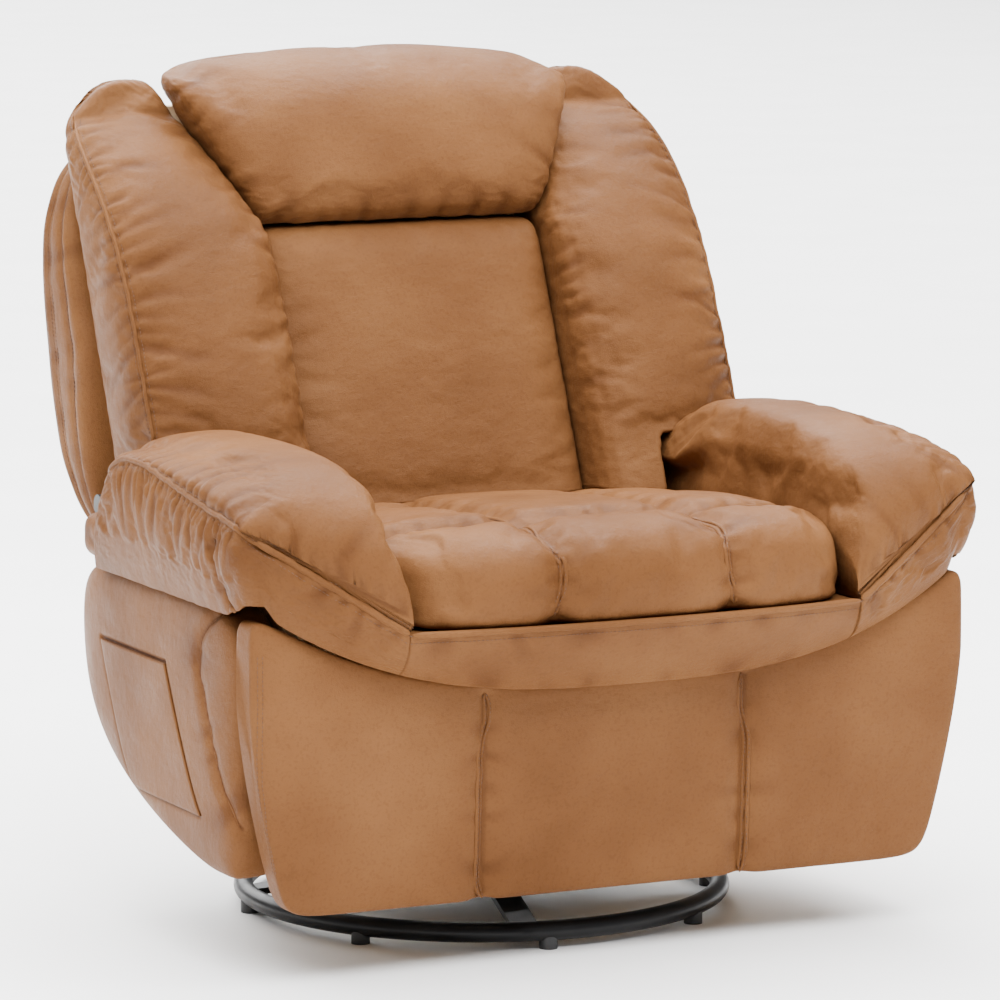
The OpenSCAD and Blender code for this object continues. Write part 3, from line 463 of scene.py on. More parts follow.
def run_along(line):
    """How far along a polyline each of its points lies."""
    return np.concatenate([[0.0], np.cumsum(np.linalg.norm(np.diff(line, axis=0), axis=1))])


def nearest_on_line(points, line):
    """Distance to a polyline and the run along it, for each point."""
    start, end, piece_run = line[:-1], line[1:], run_along(line)
    best = np.full(len(points), 1e9)
    run = np.zeros(len(points))
    for k in range(len(start)):
        d = end[k] - start[k]
        length = float(np.dot(d, d)) + 1e-18
        t = np.clip((points - start[k]) @ d / length, 0.0, 1.0)
        gap = np.linalg.norm(points - (start[k] + t[:, None] * d), axis=1)
        near = gap < best
        best[near] = gap[near]
        run[near] = piece_run[k] + t[near] * math.sqrt(length)
    return best, run


def skin_of(piece):
    mesh = piece.data
    return BVHTree.FromPolygons([v.co[:] for v in mesh.vertices], [p.vertices[:] for p in mesh.polygons])


def laid_out(skin, line):
    """A line brought out to a skin by one smooth movement, so that it keeps its
    course between the walls of a groove; returns its places and normals."""
    step = np.linalg.norm(np.diff(line, axis=0), axis=1).mean()
    passes = min(60, 1 + int(2.0 * (0.015 / step) ** 2))
    near = [skin.find_nearest(Vector(p)) for p in line]
    up = eased(np.array([hit[1] for hit in near]), passes)
    up /= np.linalg.norm(up, axis=1)[:, None]
    rise = np.empty(len(line))
    for k, p in enumerate(line):
        hit = skin.ray_cast(Vector(p + 0.025 * up[k]), Vector(-up[k]), 0.05)[0] or near[k][0]
        rise[k] = np.dot(np.array(hit) - p, up[k])
    return line + up * eased(rise, passes // 4 + 1)[:, None], up


def eased(values, passes=3):
    out = values.copy()
    for _ in range(passes):
        out[1:-1] = 0.5 * out[1:-1] + 0.25 * (out[:-2] + out[2:])
    return out


def draw_in(piece, lines, width, depth, shade=1.0):
    """Pulls the surface in along sewn lines and paints shade into the leather's colour there."""
    points, normals = points_of(piece), normals_of(piece)
    marks = painted_shade_of(piece)
    skin = skin_of(piece)
    for line in lines:
        gap, _ = nearest_on_line(points, laid_out(skin, line)[0])
        points -= normals * (depth * dent(gap, width))[:, None]
        marks = np.maximum(marks, shade * dent(gap, width * 0.55))
    set_points(piece, points)
    store_painted_shade(piece, marks)


def sew_down(piece, lines, wide, sunk, narrow, deep, shade=0.85):
    """A seam: the cover sinks towards it over a width, then folds into it, with painted shade in the fold."""
    draw_in(piece, lines, wide, sunk, 0.0)
    draw_in(piece, lines, narrow, deep, shade)


# Reads the painted shade stored on a piece's vertices.
def painted_shade_of(piece):
    layer = piece.data.attributes.get("painted_seam_shade")
    out = np.zeros(len(piece.data.vertices))
    if layer:
        layer.data.foreach_get("value", out)
    return out


# Stores painted shade on a piece's vertices, where the leather darkens its colour.
def store_painted_shade(piece, marks):
    layer = piece.data.attributes.get("painted_seam_shade") or piece.data.attributes.new("painted_seam_shade", "FLOAT", "POINT")
    layer.data.foreach_set("value", np.clip(marks, 0.0, 1.0))


def gather(piece, line, seed, pitch, depth, reach, width=0.0045, slant=0.35):
    """Short irregular pleats that run off a sewn line and die out, with painted shade in their valleys."""
    chance = np.random.default_rng(seed)
    points, normals = points_of(piece), normals_of(piece)
    gap, run = nearest_on_line(points, line)
    total = run_along(line)[-1]
    fall = np.zeros(len(points))
    at = pitch * 0.5
    while at < total:
        long = reach * chance.uniform(0.45, 1.25)
        deep = depth * chance.uniform(0.5, 1.2)
        wide = width * chance.uniform(0.7, 1.4)
        lean = slant * chance.uniform(-1.0, 1.0)
        place = run - at - lean * gap
        spread_out = wide * (1.0 + 1.2 * gap / long)
        valley = dent(place, spread_out) - 0.45 * dent(np.abs(place) - 1.9 * spread_out, spread_out)
        fall += deep * valley * dent(gap, long) * np.clip(gap / 0.004, 0.25, 1.0)
        at += pitch * chance.uniform(0.55, 1.5)
    set_points(piece, points - normals * fall[:, None])
    # Painted shade in the pleats' valleys.
    store_painted_shade(piece, np.maximum(painted_shade_of(piece), np.clip(fall / (depth * 2.4), 0.0, 0.35)))


def trim(piece, body):
    """Last steps of every leather piece: its finish and its body."""
    piece.data.materials.clear()
    piece.data.materials.append(leather)
    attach(piece, body)
    return piece


def upholster(piece, body, fill, *replaced):
    """A padded piece and the solids that it stands for."""
    trim(piece, body)
    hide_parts(*replaced)


def line_at(x, y, z):
    """A line from its coordinates in millimetres, any of which may be one number."""
    return np.stack(np.broadcast_arrays(x, y, z), axis=-1) * MM


def smooth_line(points, count=60):
    """A Catmull-Rom line through a few points, in metres."""
    p = np.array(points, float)
    p = np.vstack([2 * p[0] - p[1], p, 2 * p[-1] - p[-2]])
    out = []
    per = max(2, count // (len(p) - 3))
    for i in range(1, len(p) - 2):
        for t in np.linspace(0.0, 1.0, per, endpoint=False):
            out.append(0.5 * (2 * p[i] + (p[i + 1] - p[i - 1]) * t
                              + (2 * p[i - 1] - 5 * p[i] + 4 * p[i + 1] - p[i + 2]) * t ** 2
                              + (3 * p[i] - p[i - 1] - 3 * p[i + 1] + p[i + 2]) * t ** 3))
    out.append(p[-2])
    return np.array(out) * MM


# Seat cushion: a foam core under fibre wrap in a sewn leather cover. Two long
# seams make three channels, one seam crosses behind the rolled front edge,
# and the cover is closed onto the lip with a welted seam.
arm_half, seat_half, lip_reach = 475.0, 290.0, 446.0
welt_z, seat_top, seat_rear, arm_rear = 407.0, 517.0, 150.0, 100.0
channel_x, cross_seam_y, cushion_low = 107.0, -312.0, 380.6
pad_gap = 0.6
side_out, side_top, panel_front = 461.0, 431.0, 366.0
smile_low, smile_rise, smile_power = 333.0, 126.0, 2.9
lip_sweep, low_edge_front, sweep_power = 80.0, 400.0, 2.3


def smile(x):
    """Height of the lip's curved lower edge."""
    return smile_low + smile_rise * (np.abs(x) / arm_half) ** smile_power


def lip_y(x):
    """Forward face of the lip."""
    return -lip_reach + lip_sweep * (np.abs(x) / arm_half) ** sweep_power


def low_edge_y(x):
    return -low_edge_front + (low_edge_front - panel_front) * (np.abs(x) / side_out) ** sweep_power


def seat_floor(y):
    return np.maximum(cushion_low, welt_z + pad_gap - np.maximum(0.0, y + 264.0))


def seat_point(u, w, v):
    x = v * (seat_half - pad_gap)
    y = mix(lip_y(x) + pad_gap, seat_rear, u)
    fall = 30.0 * np.maximum(0.0, (y - cross_seam_y) / (arm_rear - cross_seam_y))
    crown = 8.0 * np.abs(v) ** 2
    return x, y, mix(seat_floor(y), seat_top - crown - fall, w)


seat_shares = [(-1, 0), (-0.985, 0.45), (-0.93, 0.72), (-0.85, 0.86), (-0.66, 0.955), (-0.5, 0.985),
               (-0.3, 1), (0, 1), (0.35, 1), (0.65, 0.93), (0.85, 0.75), (0.96, 0.4), (1, 0),
               (0.96, -0.9), (0.6, -1), (0, -1), (-0.5, -1), (-0.745, -1), (-0.9, -1), (-0.97, -0.99),
               (-0.996, -0.8)]


def seat_place(u, w, v):
    return seat_point(u * 1.003, w * 1.01, v)


seat_rings = padded_rings(seat_place, loop_section(seat_shares, 298.0, 60.0, 14), 9.0, 0.9985)


def seat_held(rings):
    x, y, z = np.moveaxis(rings, 2, 0)
    sewn = np.maximum(dent(np.abs(x) - channel_x, 9.0), dent(y - cross_seam_y, 9.0))
    hidden = np.where((z < seat_floor(y) + 9.0) | (y > 40.0), 1.0, 0.0)
    return np.maximum(hidden, np.where(sewn > 0.3, sewn, 0.0))


def surface_line(point, shares, count=60):
    """A line on a form from a list of (u, w, v) shares."""
    shares = np.array(shares, float)
    t = np.linspace(0, len(shares) - 1, count)
    u, w, v = (np.interp(t, np.arange(len(shares)), shares[:, k]) for k in range(3))
    return np.stack(point(u, w, v), axis=1) * MM


def seat_cushion():
    piece = sewn_form("seat_cushion_cover", seat_rings, 280, 180, seat_held, 7.0, 0.035, 3)
    lines = []
    for side in (-1, 1):
        lean = [side * (channel_x + 6.0 - 8.0 * k / 11.0) / seat_half for k in range(12)]
        run = [(-0.99, -0.97), (-1.0, -0.6)] + seat_shares[:10]
        lines.append(surface_line(seat_point, [(a, b, c) for (a, b), c in zip(run, lean)], 90))
    depth = seat_rear + lip_reach
    cross = surface_line(seat_point, [(2 * (cross_seam_y + 10 * abs(v) + lip_reach) / depth - 1, 0.985, v)
                                      for v in np.linspace(-0.96, 0.96, 31)])
    sew_down(piece, lines + [cross], 0.017, 0.0085, 0.0034, 0.0030)
    for k, line in enumerate(lines + [cross]):
        gather(piece, line, 11 + k, 0.024, 0.0015, 0.034, 0.005)
    return piece, lines, cross


seat_cover, seat_channels, seat_cross = seat_cushion()
upholster(seat_cover, "seat_body", 0.85, "seat_cushion")


# Seat lip: the lower front roll, one cut panel over soft foam, sewn to the
# cushion at the welt and pulled under along a curve like a smile.
lean_out = np.array([0.0, -1.0, -1.0]) / math.sqrt(2.0)
frame_front = 306.0
back_points = 24


def face_ring(top, low, out, bulge, inner_low, inner_top, around):
    """One section of a roll: its bulged face, then its flat back."""
    t = np.linspace(0.0, 1.0, around - back_points)[:, None]
    face = top + (low - top) * t + 4.0 * t * (1.0 - t) * bulge * out
    s = np.linspace(0.0, 1.0, back_points // 3 + 1)[:-1, None]
    back = [a + (b - a) * s for a, b in ((low, inner_low), (inner_low, inner_top), (inner_top, top))]
    ring = np.vstack([face] + back)
    return 0.5 * ring + 0.25 * (np.roll(ring, 1, axis=0) + np.roll(ring, -1, axis=0))


def lip_rings(around, rows):
    rings = []
    for x in np.linspace(-1.0, 1.0, rows) * (seat_half - pad_gap):
        back_y = -frame_front - pad_gap
        corners = np.array([(x, lip_y(x), welt_z), (x, low_edge_y(x), smile(x) - 5.0),
                            (x, back_y, smile(x) + 2.0), (x, back_y, welt_z)])
        rings.append(face_ring(*corners[:2], lean_out, 7.0, *corners[2:], around))
    return np.array(rings)


seat_lip = sewn_form("seat_lip_cover", lip_rings, 110, 190)
lip_x = np.linspace(-288, 288, 80)
lip_top_line = line_at(lip_x, lip_y(lip_x) + 1.0, welt_z - 2.0)
lip_low_line = line_at(lip_x, low_edge_y(lip_x), smile(lip_x) - 3.0)
gather(seat_lip, lip_top_line, 21, 0.075, 0.0008, 0.030, 0.012)
gather(seat_lip, lip_low_line, 22, 0.070, 0.0007, 0.030, 0.014)
upholster(seat_lip, "seat_body", 0.8, "seat_lip")


# Arms: a thick fibre-filled pad over each timber arm board, its cover cut from
# a top piece and a gathered side band joined by a welted, twice-stitched seam.
arm_top, arm_sweep, corner_round = 591.0, 125.0, 20.0
band_in_x, band_in_y = 345.0, 300.0
welt_front_z, welt_rise, welt_drop = 529.0, 43.0, 35.0


def outer_welt(y):
    """Height of the seam along the arm's outer edge."""
    t = np.clip((y + panel_front) / (panel_front - 86.0), 0.0, 1.0)
    r = np.clip((y + 40.0) / 80.0, 0.0, 1.0)
    return welt_front_z + welt_rise * t - welt_drop * r * r


def arm_plane(x, y):
    return welt_z + (outer_welt(y) - welt_z) * (np.abs(x) - seat_half) / (arm_half - seat_half)


def arm_end(x):
    """Rear end of the arm, swept forward from the seat's rear to the outer side."""
    return seat_rear - arm_sweep * (np.maximum(0.0, np.abs(x) - seat_half) / (arm_half - seat_half)) ** 2


def arm_pad_point(a, b, up):
    x = mix(seat_half + pad_gap, arm_half, a)
    dome = two_ends(a, 4.0, 2.7) * two_ends(b, 3.2, 4.5)
    y = mix(lip_y(x), arm_end(x) - 30.0 * up * dome * np.maximum(0.0, b), b)
    low = arm_plane(x, y) + pad_gap
    top = np.maximum(arm_top - 8.0 * ((y + 130.0) / 240.0) ** 2, arm_plane(x, y) + 12.0)
    z = low + up * np.maximum(1.0, (top - low) * dome)
    rear = smooth_step((y + 60.0) / 90.0)
    hang = (18.0 + 7.0 * rear) * smooth_step((z - seat_top + 12.0) / (52.0 - 34.0 * rear))
    hang = hang * ((1.0 - a) / 2.0) ** 2
    return np.stack([x - hang, y, z], axis=-1)


base_points = 30


def arm_pad_rings(around, rows):
    over = around - base_points
    a = np.sin(np.linspace(-0.5, 0.5, over) * math.pi * 0.94) / math.sin(0.47 * math.pi)
    base = np.linspace(1.0, -1.0, base_points + 2)[1:-1]
    rings = []
    for b in two_powers(rows, 3.2, 4.5):
        top = arm_pad_point(a, np.full(over, b), 1.0)
        rings.append(np.vstack([top, arm_pad_point(base, np.full(base_points, b), 0.0)]))
    return np.array(rings)


def arm_pad_held(rings):
    x, y, z = np.moveaxis(rings, 2, 0)
    return np.where(z - arm_plane(x, y) < 7.0, 1.0, np.clip((y - 15.0) / 50.0, 0.0, 1.0))


band_rear = arm_end(arm_half) - 2.0


def band_ring(top, low, out, in_x, in_y, around):
    top_y = min(in_y, max(top[1], -band_in_y))
    in_top = min(top[2], arm_plane(in_x, top_y) - 4.0)
    in_low = min(side_top + pad_gap, in_top - 12.0)
    if out[0] == 1.0:
        low_x, in_y, in_low = low[0] - 1.6, low[1], low[2] + 6.5
    elif in_y <= -band_in_y + 13.5:
        low_x, in_y, in_low = in_x, -frame_front - pad_gap, low[2] + 5.0
    top = (top[0], top[1], top[2] + 4.0)
    return face_ring(np.array(top), np.array(low), np.array(out), 9.0,
                     np.array([low_x, in_y, in_low]), np.array([in_x, top_y, in_top]), around)


def arm_band_rings(around, rows):
    few = max(6, rows // 4)
    rings = []
    for x in np.linspace(seat_half + pad_gap, arm_half - 39.4, few):
        in_x = x if x < band_in_x else band_in_x + (x - band_in_x) / 10.0
        rings.append(band_ring((x, lip_y(x), arm_plane(x, lip_y(x)) - 4.0), (x, low_edge_y(x), smile(x) - 5.0),
                               lean_out, in_x, -band_in_y + max(0.0, x - band_in_x) / 12.0, around))
    for t in np.linspace(0.0, 1.0, max(4, rows // 10)):
        turn = t * math.pi / 2.0
        x = arm_half - pad_gap - corner_round * (1.0 - math.sin(turn))
        y = lip_y(arm_half) + corner_round * (1.0 - math.cos(turn))
        rings.append(band_ring((x, y, arm_plane(x, y) - 4.0),
                               (x - 12.0, y + 2.0 * (1.0 - t), smile(side_out) - 5.0),
                               (math.sin(turn), -math.cos(turn), -0.5), band_in_x + (x - band_in_x) / 10.0,
                               -band_in_y + (x - band_in_x) / 11.0, around))
    first = -panel_front + corner_round
    for y in np.linspace(first, band_rear, rows - len(rings) + 1)[1:]:
        b = smooth_step((y + panel_front) / (panel_front - band_in_y))
        low_y = y + 70.0 * smooth_step((y + 120.0) / (band_rear + 120.0))
        low_z = smile(side_out) - 5.0 + (side_top - smile(side_out)) * b
        rings.append(band_ring((arm_half - pad_gap, y, arm_plane(arm_half, y) - 4.0),
                               (side_out + 2.4, low_y, low_z), (1.0, 0.0, -0.3), band_in_x + 13.0,
                               max(low_y, -band_in_y + 13.0), around))
    return eased(np.array(rings), 3)


def arm_band_held(rings):
    rows, around = rings.shape[:2]
    place = np.broadcast_to(np.arange(around) / (around - back_points), (rows, around))
    held = np.where((place > 0.96) | (place < 0.04), 1.0, 0.0)
    held[:2] = held[-2:] = 1.0
    return held


def arm_welt_line(side):
    """The welted seam between top piece and side band, front to rear."""
    y = np.linspace(-350.0, arm_end(arm_half) - 3.0, 70)
    return line_at(side * (arm_half - 0.3), y, arm_plane(arm_half, y) - 1.5)


def arm_front_line(side):
    """The same seam across the arm's front, from the lip round the outer corner."""
    x = np.linspace(seat_half + 1.0, arm_half - corner_round, 40)
    y = lip_y(x)
    bend = np.linspace(0.2, 1.0, 6) * math.pi / 2.0
    x = np.append(x, arm_half - corner_round + 19.5 * np.sin(bend))
    y = np.append(y, lip_y(arm_half) + 16.0 * (1.0 - np.cos(bend)) + 1.0)
    return line_at(side * x, y, arm_plane(x, y) - 1.5)


gusset_places = [(474, -300, 512), (472, -306, 486), (466, -312, 458), (462, -316, 440)]


def one_arm(side, tag, number):
    pad = sewn_form("arm_pad_cover_" + tag, flipped(arm_pad_rings, side), 200, 190,
                    arm_pad_held, 9.0, 0.06, 30 + number)
    band = sewn_form("arm_band_cover_" + tag, flipped(arm_band_rings, side), 124, 260,
                     arm_band_held, 6.0, 0.05, 40 + number)
    edge, front = arm_welt_line(side), arm_front_line(side)
    gather(pad, edge, 30 + number, 0.018, 0.0019, 0.075, 0.0046)
    gather(pad, front, 34 + number, 0.020, 0.0019, 0.065, 0.0050)
    gather(band, edge, 38 + number, 0.010, 0.0017, 0.075, 0.0030)
    gather(band, front, 42 + number, 0.024, 0.0012, 0.026, 0.0060)
    draw_in(pad, [edge, front], 0.009, 0.0016, 0.0)
    gusset = smooth_line([(side * x, y, z) for x, y, z in gusset_places], 24)
    sew_down(band, [gusset], 0.009, 0.0050, 0.0028, 0.0024)
    gather(band, gusset, 46 + number, 0.020, 0.0016, 0.030, 0.005)
    upholster(pad, "seat_body", 0.7, "arm_pad_" + tag)
    upholster(band, "seat_body", 0.7, "arm_band_" + tag)
    return pad, band, edge, front, gusset


arm_left = one_arm(1.0, "left", 0)
arm_right = one_arm(-1.0, "right", 1)


# Rear arm rolls: the covers' ends, turned down and stapled behind each arm.
# They are short soft rolls over fibre.
roll_in, roll_out, roll_rear, roll_high = 398.0, 452.0, 172.0, 483.0
roll_crease = [(roll_out, 120, 440), (451, 122, 460), (440, 124, 480)]


def roll_point(u, w, v):
    return mix(roll_in, roll_out, w), mix(band_rear + 70.3, roll_rear, v), mix(side_top - 2.0, roll_high, u)


def rear_roll(side, tag):
    shape = flipped(padded_rings(roll_point, ring_section(3.0, 26, 27), 5.0), side)
    piece = sewn_form("rear_roll_cover_" + tag, shape, 72, 60)
    gather(piece, smooth_line([(side * x, y, z) for x, y, z in roll_crease], 20), 50, 0.016, 0.0014, 0.03)
    upholster(piece, "seat_body", 0.7, "rear_roll_" + tag)


rear_roll(1.0, "left")
rear_roll(-1.0, "right")


# Side panels: leather over board and thin foam, shaped by a swept rear edge,
# with a narrow front strip sewn on and, on the sitter's right, a slip pocket.
side_in, side_low, side_front = 385.3, 116.0, 304.0
side_back, rear_sweep, sweep_bend = 174.0, 395.0, 4.2


def side_rear_y(z):
    return side_back - rear_sweep * np.maximum(0.0, (side_top - z) / (side_top - side_low)) ** sweep_bend


def side_point(u, w, v):
    z = mix(side_low, side_top, v)
    rear = side_rear_y(z) + 87.7 * np.maximum(0.0, (1.0 - u) / 2.0) ** 1.5
    return mix(side_in, side_out, u), mix(-side_front, rear, w), z


def side_face(y, z):
    """The outer face of a side panel at a place seen from the side."""
    v = 2.0 * (z - side_low) / (side_top - side_low) - 1.0
    w = 2.0 * (y + side_front) / (side_rear_y(z) + side_front) - 1.0
    s = end_share(v, 6.0)
    return mix(side_in, side_out, np.maximum(0.0, s ** 5 - np.abs(w) ** 5) ** 0.2)


def side_line(side, points, count=50):
    line = smooth_line([(0.0, y, z) for y, z in points], count) / MM
    line[:, 0] = side * side_face(line[:, 1], line[:, 2])
    return line * MM


strip_seam = [(-251, 424), (-212, 386), (-206, 350), (-220, 315), (-254, 240), (-300, 178)]


def side_panel(side, tag):
    shape = flipped(padded_rings(side_point, ring_section(5.0, 38, 230), 6.0), side)
    piece = sewn_form("side_cover_" + tag, shape, 230, 160)
    seam = side_line(side, strip_seam)
    sew_down(piece, [seam], 0.011, 0.0040, 0.0030, 0.0020, 0.8)
    gather(piece, seam, 60, 0.045, 0.0010, 0.035, 0.008)
    return piece, seam


side_left, strip_left = side_panel(1.0, "left")
upholster(side_left, "seat_body", 0.5, "side_panel_left")
side_right, strip_right = side_panel(-1.0, "right")


# Pocket: a second leaf of leather sewn to the side panel along three edges,
# with its top edge turned in and stitched as a hem, so the mouth stands open.
pocket_low, pocket_top, leaf_thickness = 179.6, 341.0, 2.2
pocket_front, pocket_rear = (-111.0, -215.0), (87.0, -10.0)


def pocket_edge(high, low, z):
    return low + (high - low) * np.maximum(0.0, (z - 179.0) / 162.0) ** 0.8


def pocket_pieces():
    rows, columns = 60, 56
    z = np.linspace(pocket_low, pocket_top, rows)
    front, rear = pocket_edge(*pocket_front, z), pocket_edge(*pocket_rear, z)
    share = np.linspace(0.0, 1.0, columns)
    y = front[:, None] + (rear - front)[:, None] * share
    zz = np.repeat(z[:, None], columns, axis=1)
    bow = (1.0 - (2.0 * share - 1.0) ** 4)[None, :] * np.clip((zz - pocket_low) / 60.0, 0.0, 1.0)
    outer = np.stack([-(side_face(y, zz) + pad_gap + 1.4 * bow), y, zz], axis=2)
    inner = outer + np.array([leaf_thickness, 0.0, 0.0])
    points = np.vstack([outer.reshape(-1, 3), inner.reshape(-1, 3)]) * MM
    half = rows * columns
    grid = np.arange(half).reshape(rows, columns)
    a, b, c, d = (corner.ravel() for corner in (grid[:-1, :-1], grid[:-1, 1:], grid[1:, 1:], grid[1:, :-1]))
    rim = np.concatenate([grid[0], grid[1:, -1], grid[-1, -2::-1], grid[-2:0:-1, 0]])
    after = np.roll(rim, -1)
    faces = np.vstack([np.stack(corners, axis=1) for corners in (
        (a, b, c, d), (half + a, half + d, half + c, half + b), (rim, after, half + after, half + rim))])
    leaf = new_piece("pocket_leaf", closed_mesh("pocket_leaf", points, faces.tolist()))
    outline = np.vstack([outer[-1:, 0], outer[::-3, 0], outer[0, ::4], outer[::3, -1], outer[-1:, -1]]) * MM
    return leaf, outline, outer[-1] * MM


pocket_leaf, pocket_outline, pocket_mouth = pocket_pieces()
# The side panel is sunk along the pocket's outline and under its mouth, with painted shade there.
draw_in(side_right, [pocket_outline], 0.004, 0.0016, 0.7)
draw_in(side_right, [pocket_mouth + np.array([0.0, 0.0, 0.002])], 0.003, 0.0030, 1.0)
upholster(side_right, "seat_body", 0.5, "side_panel_right")
upholster(pocket_leaf, "seat_body", 0.1, "side_pocket")


# Rear panel: plain leather over board, closing the seat box behind and swept
# forward towards its lower edge as the sides are.
rear_half, rear_low, rear_high, rear_shift, rear_thick = 385.0, 236.0, 309.0, 88.0, 23.0


def rear_face(z):
    return rear_shift + side_rear_y(z)


def rear_point(u, w, v):
    z = mix(rear_low, rear_high, w)
    return v * rear_half, mix(rear_face(z), rear_face(z) + rear_thick, u), z


rear_cover = sewn_form("rear_panel_cover", padded_rings(rear_point, ring_section(6.0, 12, 37), 12.0), 96, 150)
rear_seam = line_at(np.linspace(-370, 370, 60), rear_face(300.0) + rear_thick, 300.0)
draw_in(rear_cover, [rear_seam], 0.005, 0.0015, 0.5)
upholster(rear_cover, "seat_body", 0.4, "rear_panel")


# Front panel: the footrest's face, foam on a board, its cover joined from
# three widths by two upright seams, with a curved top that follows the lip.
panel_half, panel_seam_x, panel_bottom = 461.0, 168.0, 80.0
panel_lean, lean_from, panel_taper = 16.0, 333.0, 0.155


def panel_face(z):
    """The front panel's face, which leans back towards its lower edge."""
    return -panel_front + panel_lean * np.maximum(0.0, (lean_from - z) / lean_from)


def panel_point(u, w, v):
    x0 = v * panel_half
    z = mix(panel_bottom, smile(x0) - 5.5, w)
    low = np.maximum(0.0, (lean_from - z) / lean_from)
    return x0 * (1.0 - panel_taper * low ** 1.5 * (x0 / panel_half) ** 4), mix(panel_face(z), -315.3, u), z


def panel_seam(x, low=88.0, high=320.0):
    z = np.linspace(low, high, 60)
    return line_at(x, panel_face(z), z)


def front_panel():
    shape = padded_rings(panel_point, ring_section(12.0, 26, 160), 16.0)
    piece = sewn_form("front_panel_cover", shape, 230, 270)
    seams = [panel_seam(-panel_seam_x), panel_seam(panel_seam_x)]
    sew_down(piece, seams, 0.015, 0.0065, 0.0034, 0.0030)
    for k, seam in enumerate(seams):
        gather(piece, seam, 70 + k, 0.050, 0.0012, 0.034, 0.007)
    return piece, seams


panel_cover, panel_seams = front_panel()
upholster(panel_cover, "footrest", 0.6, "footrest_pad")


# Back shell: leather over the rear of the back frame, with thin wadding, two
# upright seams on each side and a crown behind the sitter's head.
face_y0, face_z0, frame_depth = 108.0, 531.0, 100.0
back_slope = math.tan(math.radians(22.5))
back_half, wing_half = 188.0, 397.0
chair_height, pillow_z, tuck_low = 1014.0, 809.0, 440.0


def face_y(z):
    return face_y0 + (z - face_z0) * back_slope


def frame_y(z):
    return face_y(z) + frame_depth


shell_low, shell_top, shell_half = 353.0, 953.0, 400.0
crown_y, crown_z, crown_bow, crown_run = 450.0, 817.0, 156.0, 473.0
shell_gap, shell_near, shell_thick = 25.6, 286.0, 25.0


def shell_rear(z):
    return crown_y - crown_bow * ((z - crown_z) / crown_run) ** 2


def shell_front(z):
    return np.minimum(np.maximum(frame_y(z) + shell_gap, shell_near), shell_rear(z) - shell_thick)


def shell_point(u, w, v):
    z = mix(shell_low, shell_top, v)
    return u * shell_half, mix(shell_front(z), shell_rear(z), w), z


def shell_side_line(side, share):
    """An upright line on the shell's side, share 0 at the front edge, 1 at the rear."""
    v = np.linspace(-0.86, 0.86, 70)
    z = mix(shell_low, shell_top, v)
    s = end_share(v, 4.0)
    rear_share = s * (2.0 * share - 1.0)
    return line_at(side * s * (shell_half - 0.5), mix(shell_front(z), shell_rear(z), rear_share), z)


back_shell = sewn_form("back_shell_cover", padded_rings(shell_point, ring_section(9.0, 400, 45), 4.0), 300, 170)
shell_lines = [shell_side_line(s, k) for s in (-1, 1) for k in (0.30, 0.66)]
sew_down(back_shell, shell_lines, 0.008, 0.0030, 0.0026, 0.0022)
for k, line in enumerate(shell_lines):
    gather(back_shell, line, 90 + k, 0.070, 0.0007, 0.030, 0.010)
upholster(back_shell, "back", 0.5, "back_shell")


# Back cushion: one flat-crowned panel of foam and fibre between the wings,
# tucked under the head pillow and down behind the seat.
def arm_rear_profile(x, z):
    """How far back the arm pad reaches at side distance x and height z."""
    a = 2.0 * (x - seat_half - pad_gap) / (arm_half - seat_half - pad_gap) - 1.0
    places = [arm_pad_point(a, np.full_like(a, b), 1.0) for b in np.linspace(0.3, 0.9995, 48)]
    reach = places[0][..., 1]
    for one, two in zip(places, places[1:]):
        share = np.clip((one[..., 2] - z) / np.maximum(one[..., 2] - two[..., 2], 0.01), 0.0, 1.0)
        reach = reach + share * (two[..., 1] - one[..., 1])
    return reach


def tucked(y, x, z):
    """Draws the back's front plane in behind the seat and the arms."""
    share = smooth_step((np.abs(x) - seat_half + 30.0) / 12.0)
    behind_seat = np.interp(z + 8.0 * (x / seat_half) ** 2, [431.0, 453.0, 473.4, 487.0, 491.0],
                            [152.5, 140.0, 107.5, 48.0, 10.0])
    behind_arm = arm_rear_profile(np.clip(np.abs(x), seat_half + 14.0, 460.0), z) + 3.0
    return np.maximum(y, behind_seat + (behind_arm - behind_seat) * share)


def back_point(u, w, v):
    z = mix(tuck_low, pillow_z - pad_gap, v)
    return u * (back_half - pad_gap), mix(tucked(face_y(z) - 8.0, 0.0 * z, z), frame_y(z) - pad_gap, w), z


def back_held(rings):
    x, y, z = np.moveaxis(rings, 2, 0)
    sewn = (np.abs(x) > back_half - 5.0) | (y > frame_y(z) - 14.0) | (z > pillow_z - 7.0) | (z < 500.0)
    return np.where(sewn, 1.0, 0.0)


back_rings = bag_rings(back_point, ring_section(7.0, 188, 54), (40, 20), (40, 12), 40, 16)
back_cushion = sewn_form("back_cushion_cover", back_rings, 220, 150, back_held, 5.0, 0.012, 61)
upholster(back_cushion, "back", 0.75, "back_cushion")


# Head pillow: the fullest piece, fibre in a bag sewn to the back along its
# lower edge and both sides, wider at the top where it rolls over the frame.
pillow_foot_half, pillow_flare, pillow_lift = 190.0, 94.0, 30.0


def pillow_half(z):
    return pillow_foot_half + pillow_flare * (z - pillow_z) / (chair_height - pillow_z)


def pillow_point(u, w, v):
    z = mix(pillow_z, chair_height - 16.0 * u * u, v)
    return u * pillow_half(z), mix(face_y(z) - pillow_lift, frame_y(z) - pad_gap, w), z


def pillow_held(rings):
    x, y, z = np.moveaxis(rings, 2, 0)
    sewn = (np.abs(x) > pillow_half(z) - 5.0) | (y > frame_y(z) - 12.0) | (z < pillow_z + 4.0)
    return np.where(sewn, 1.0, 0.0)


def pillow_side(side):
    z = np.linspace(814.0, 1000.0, 60)
    return line_at(side * (pillow_half(z) - 1.5), face_y(z) + 16.0, z)


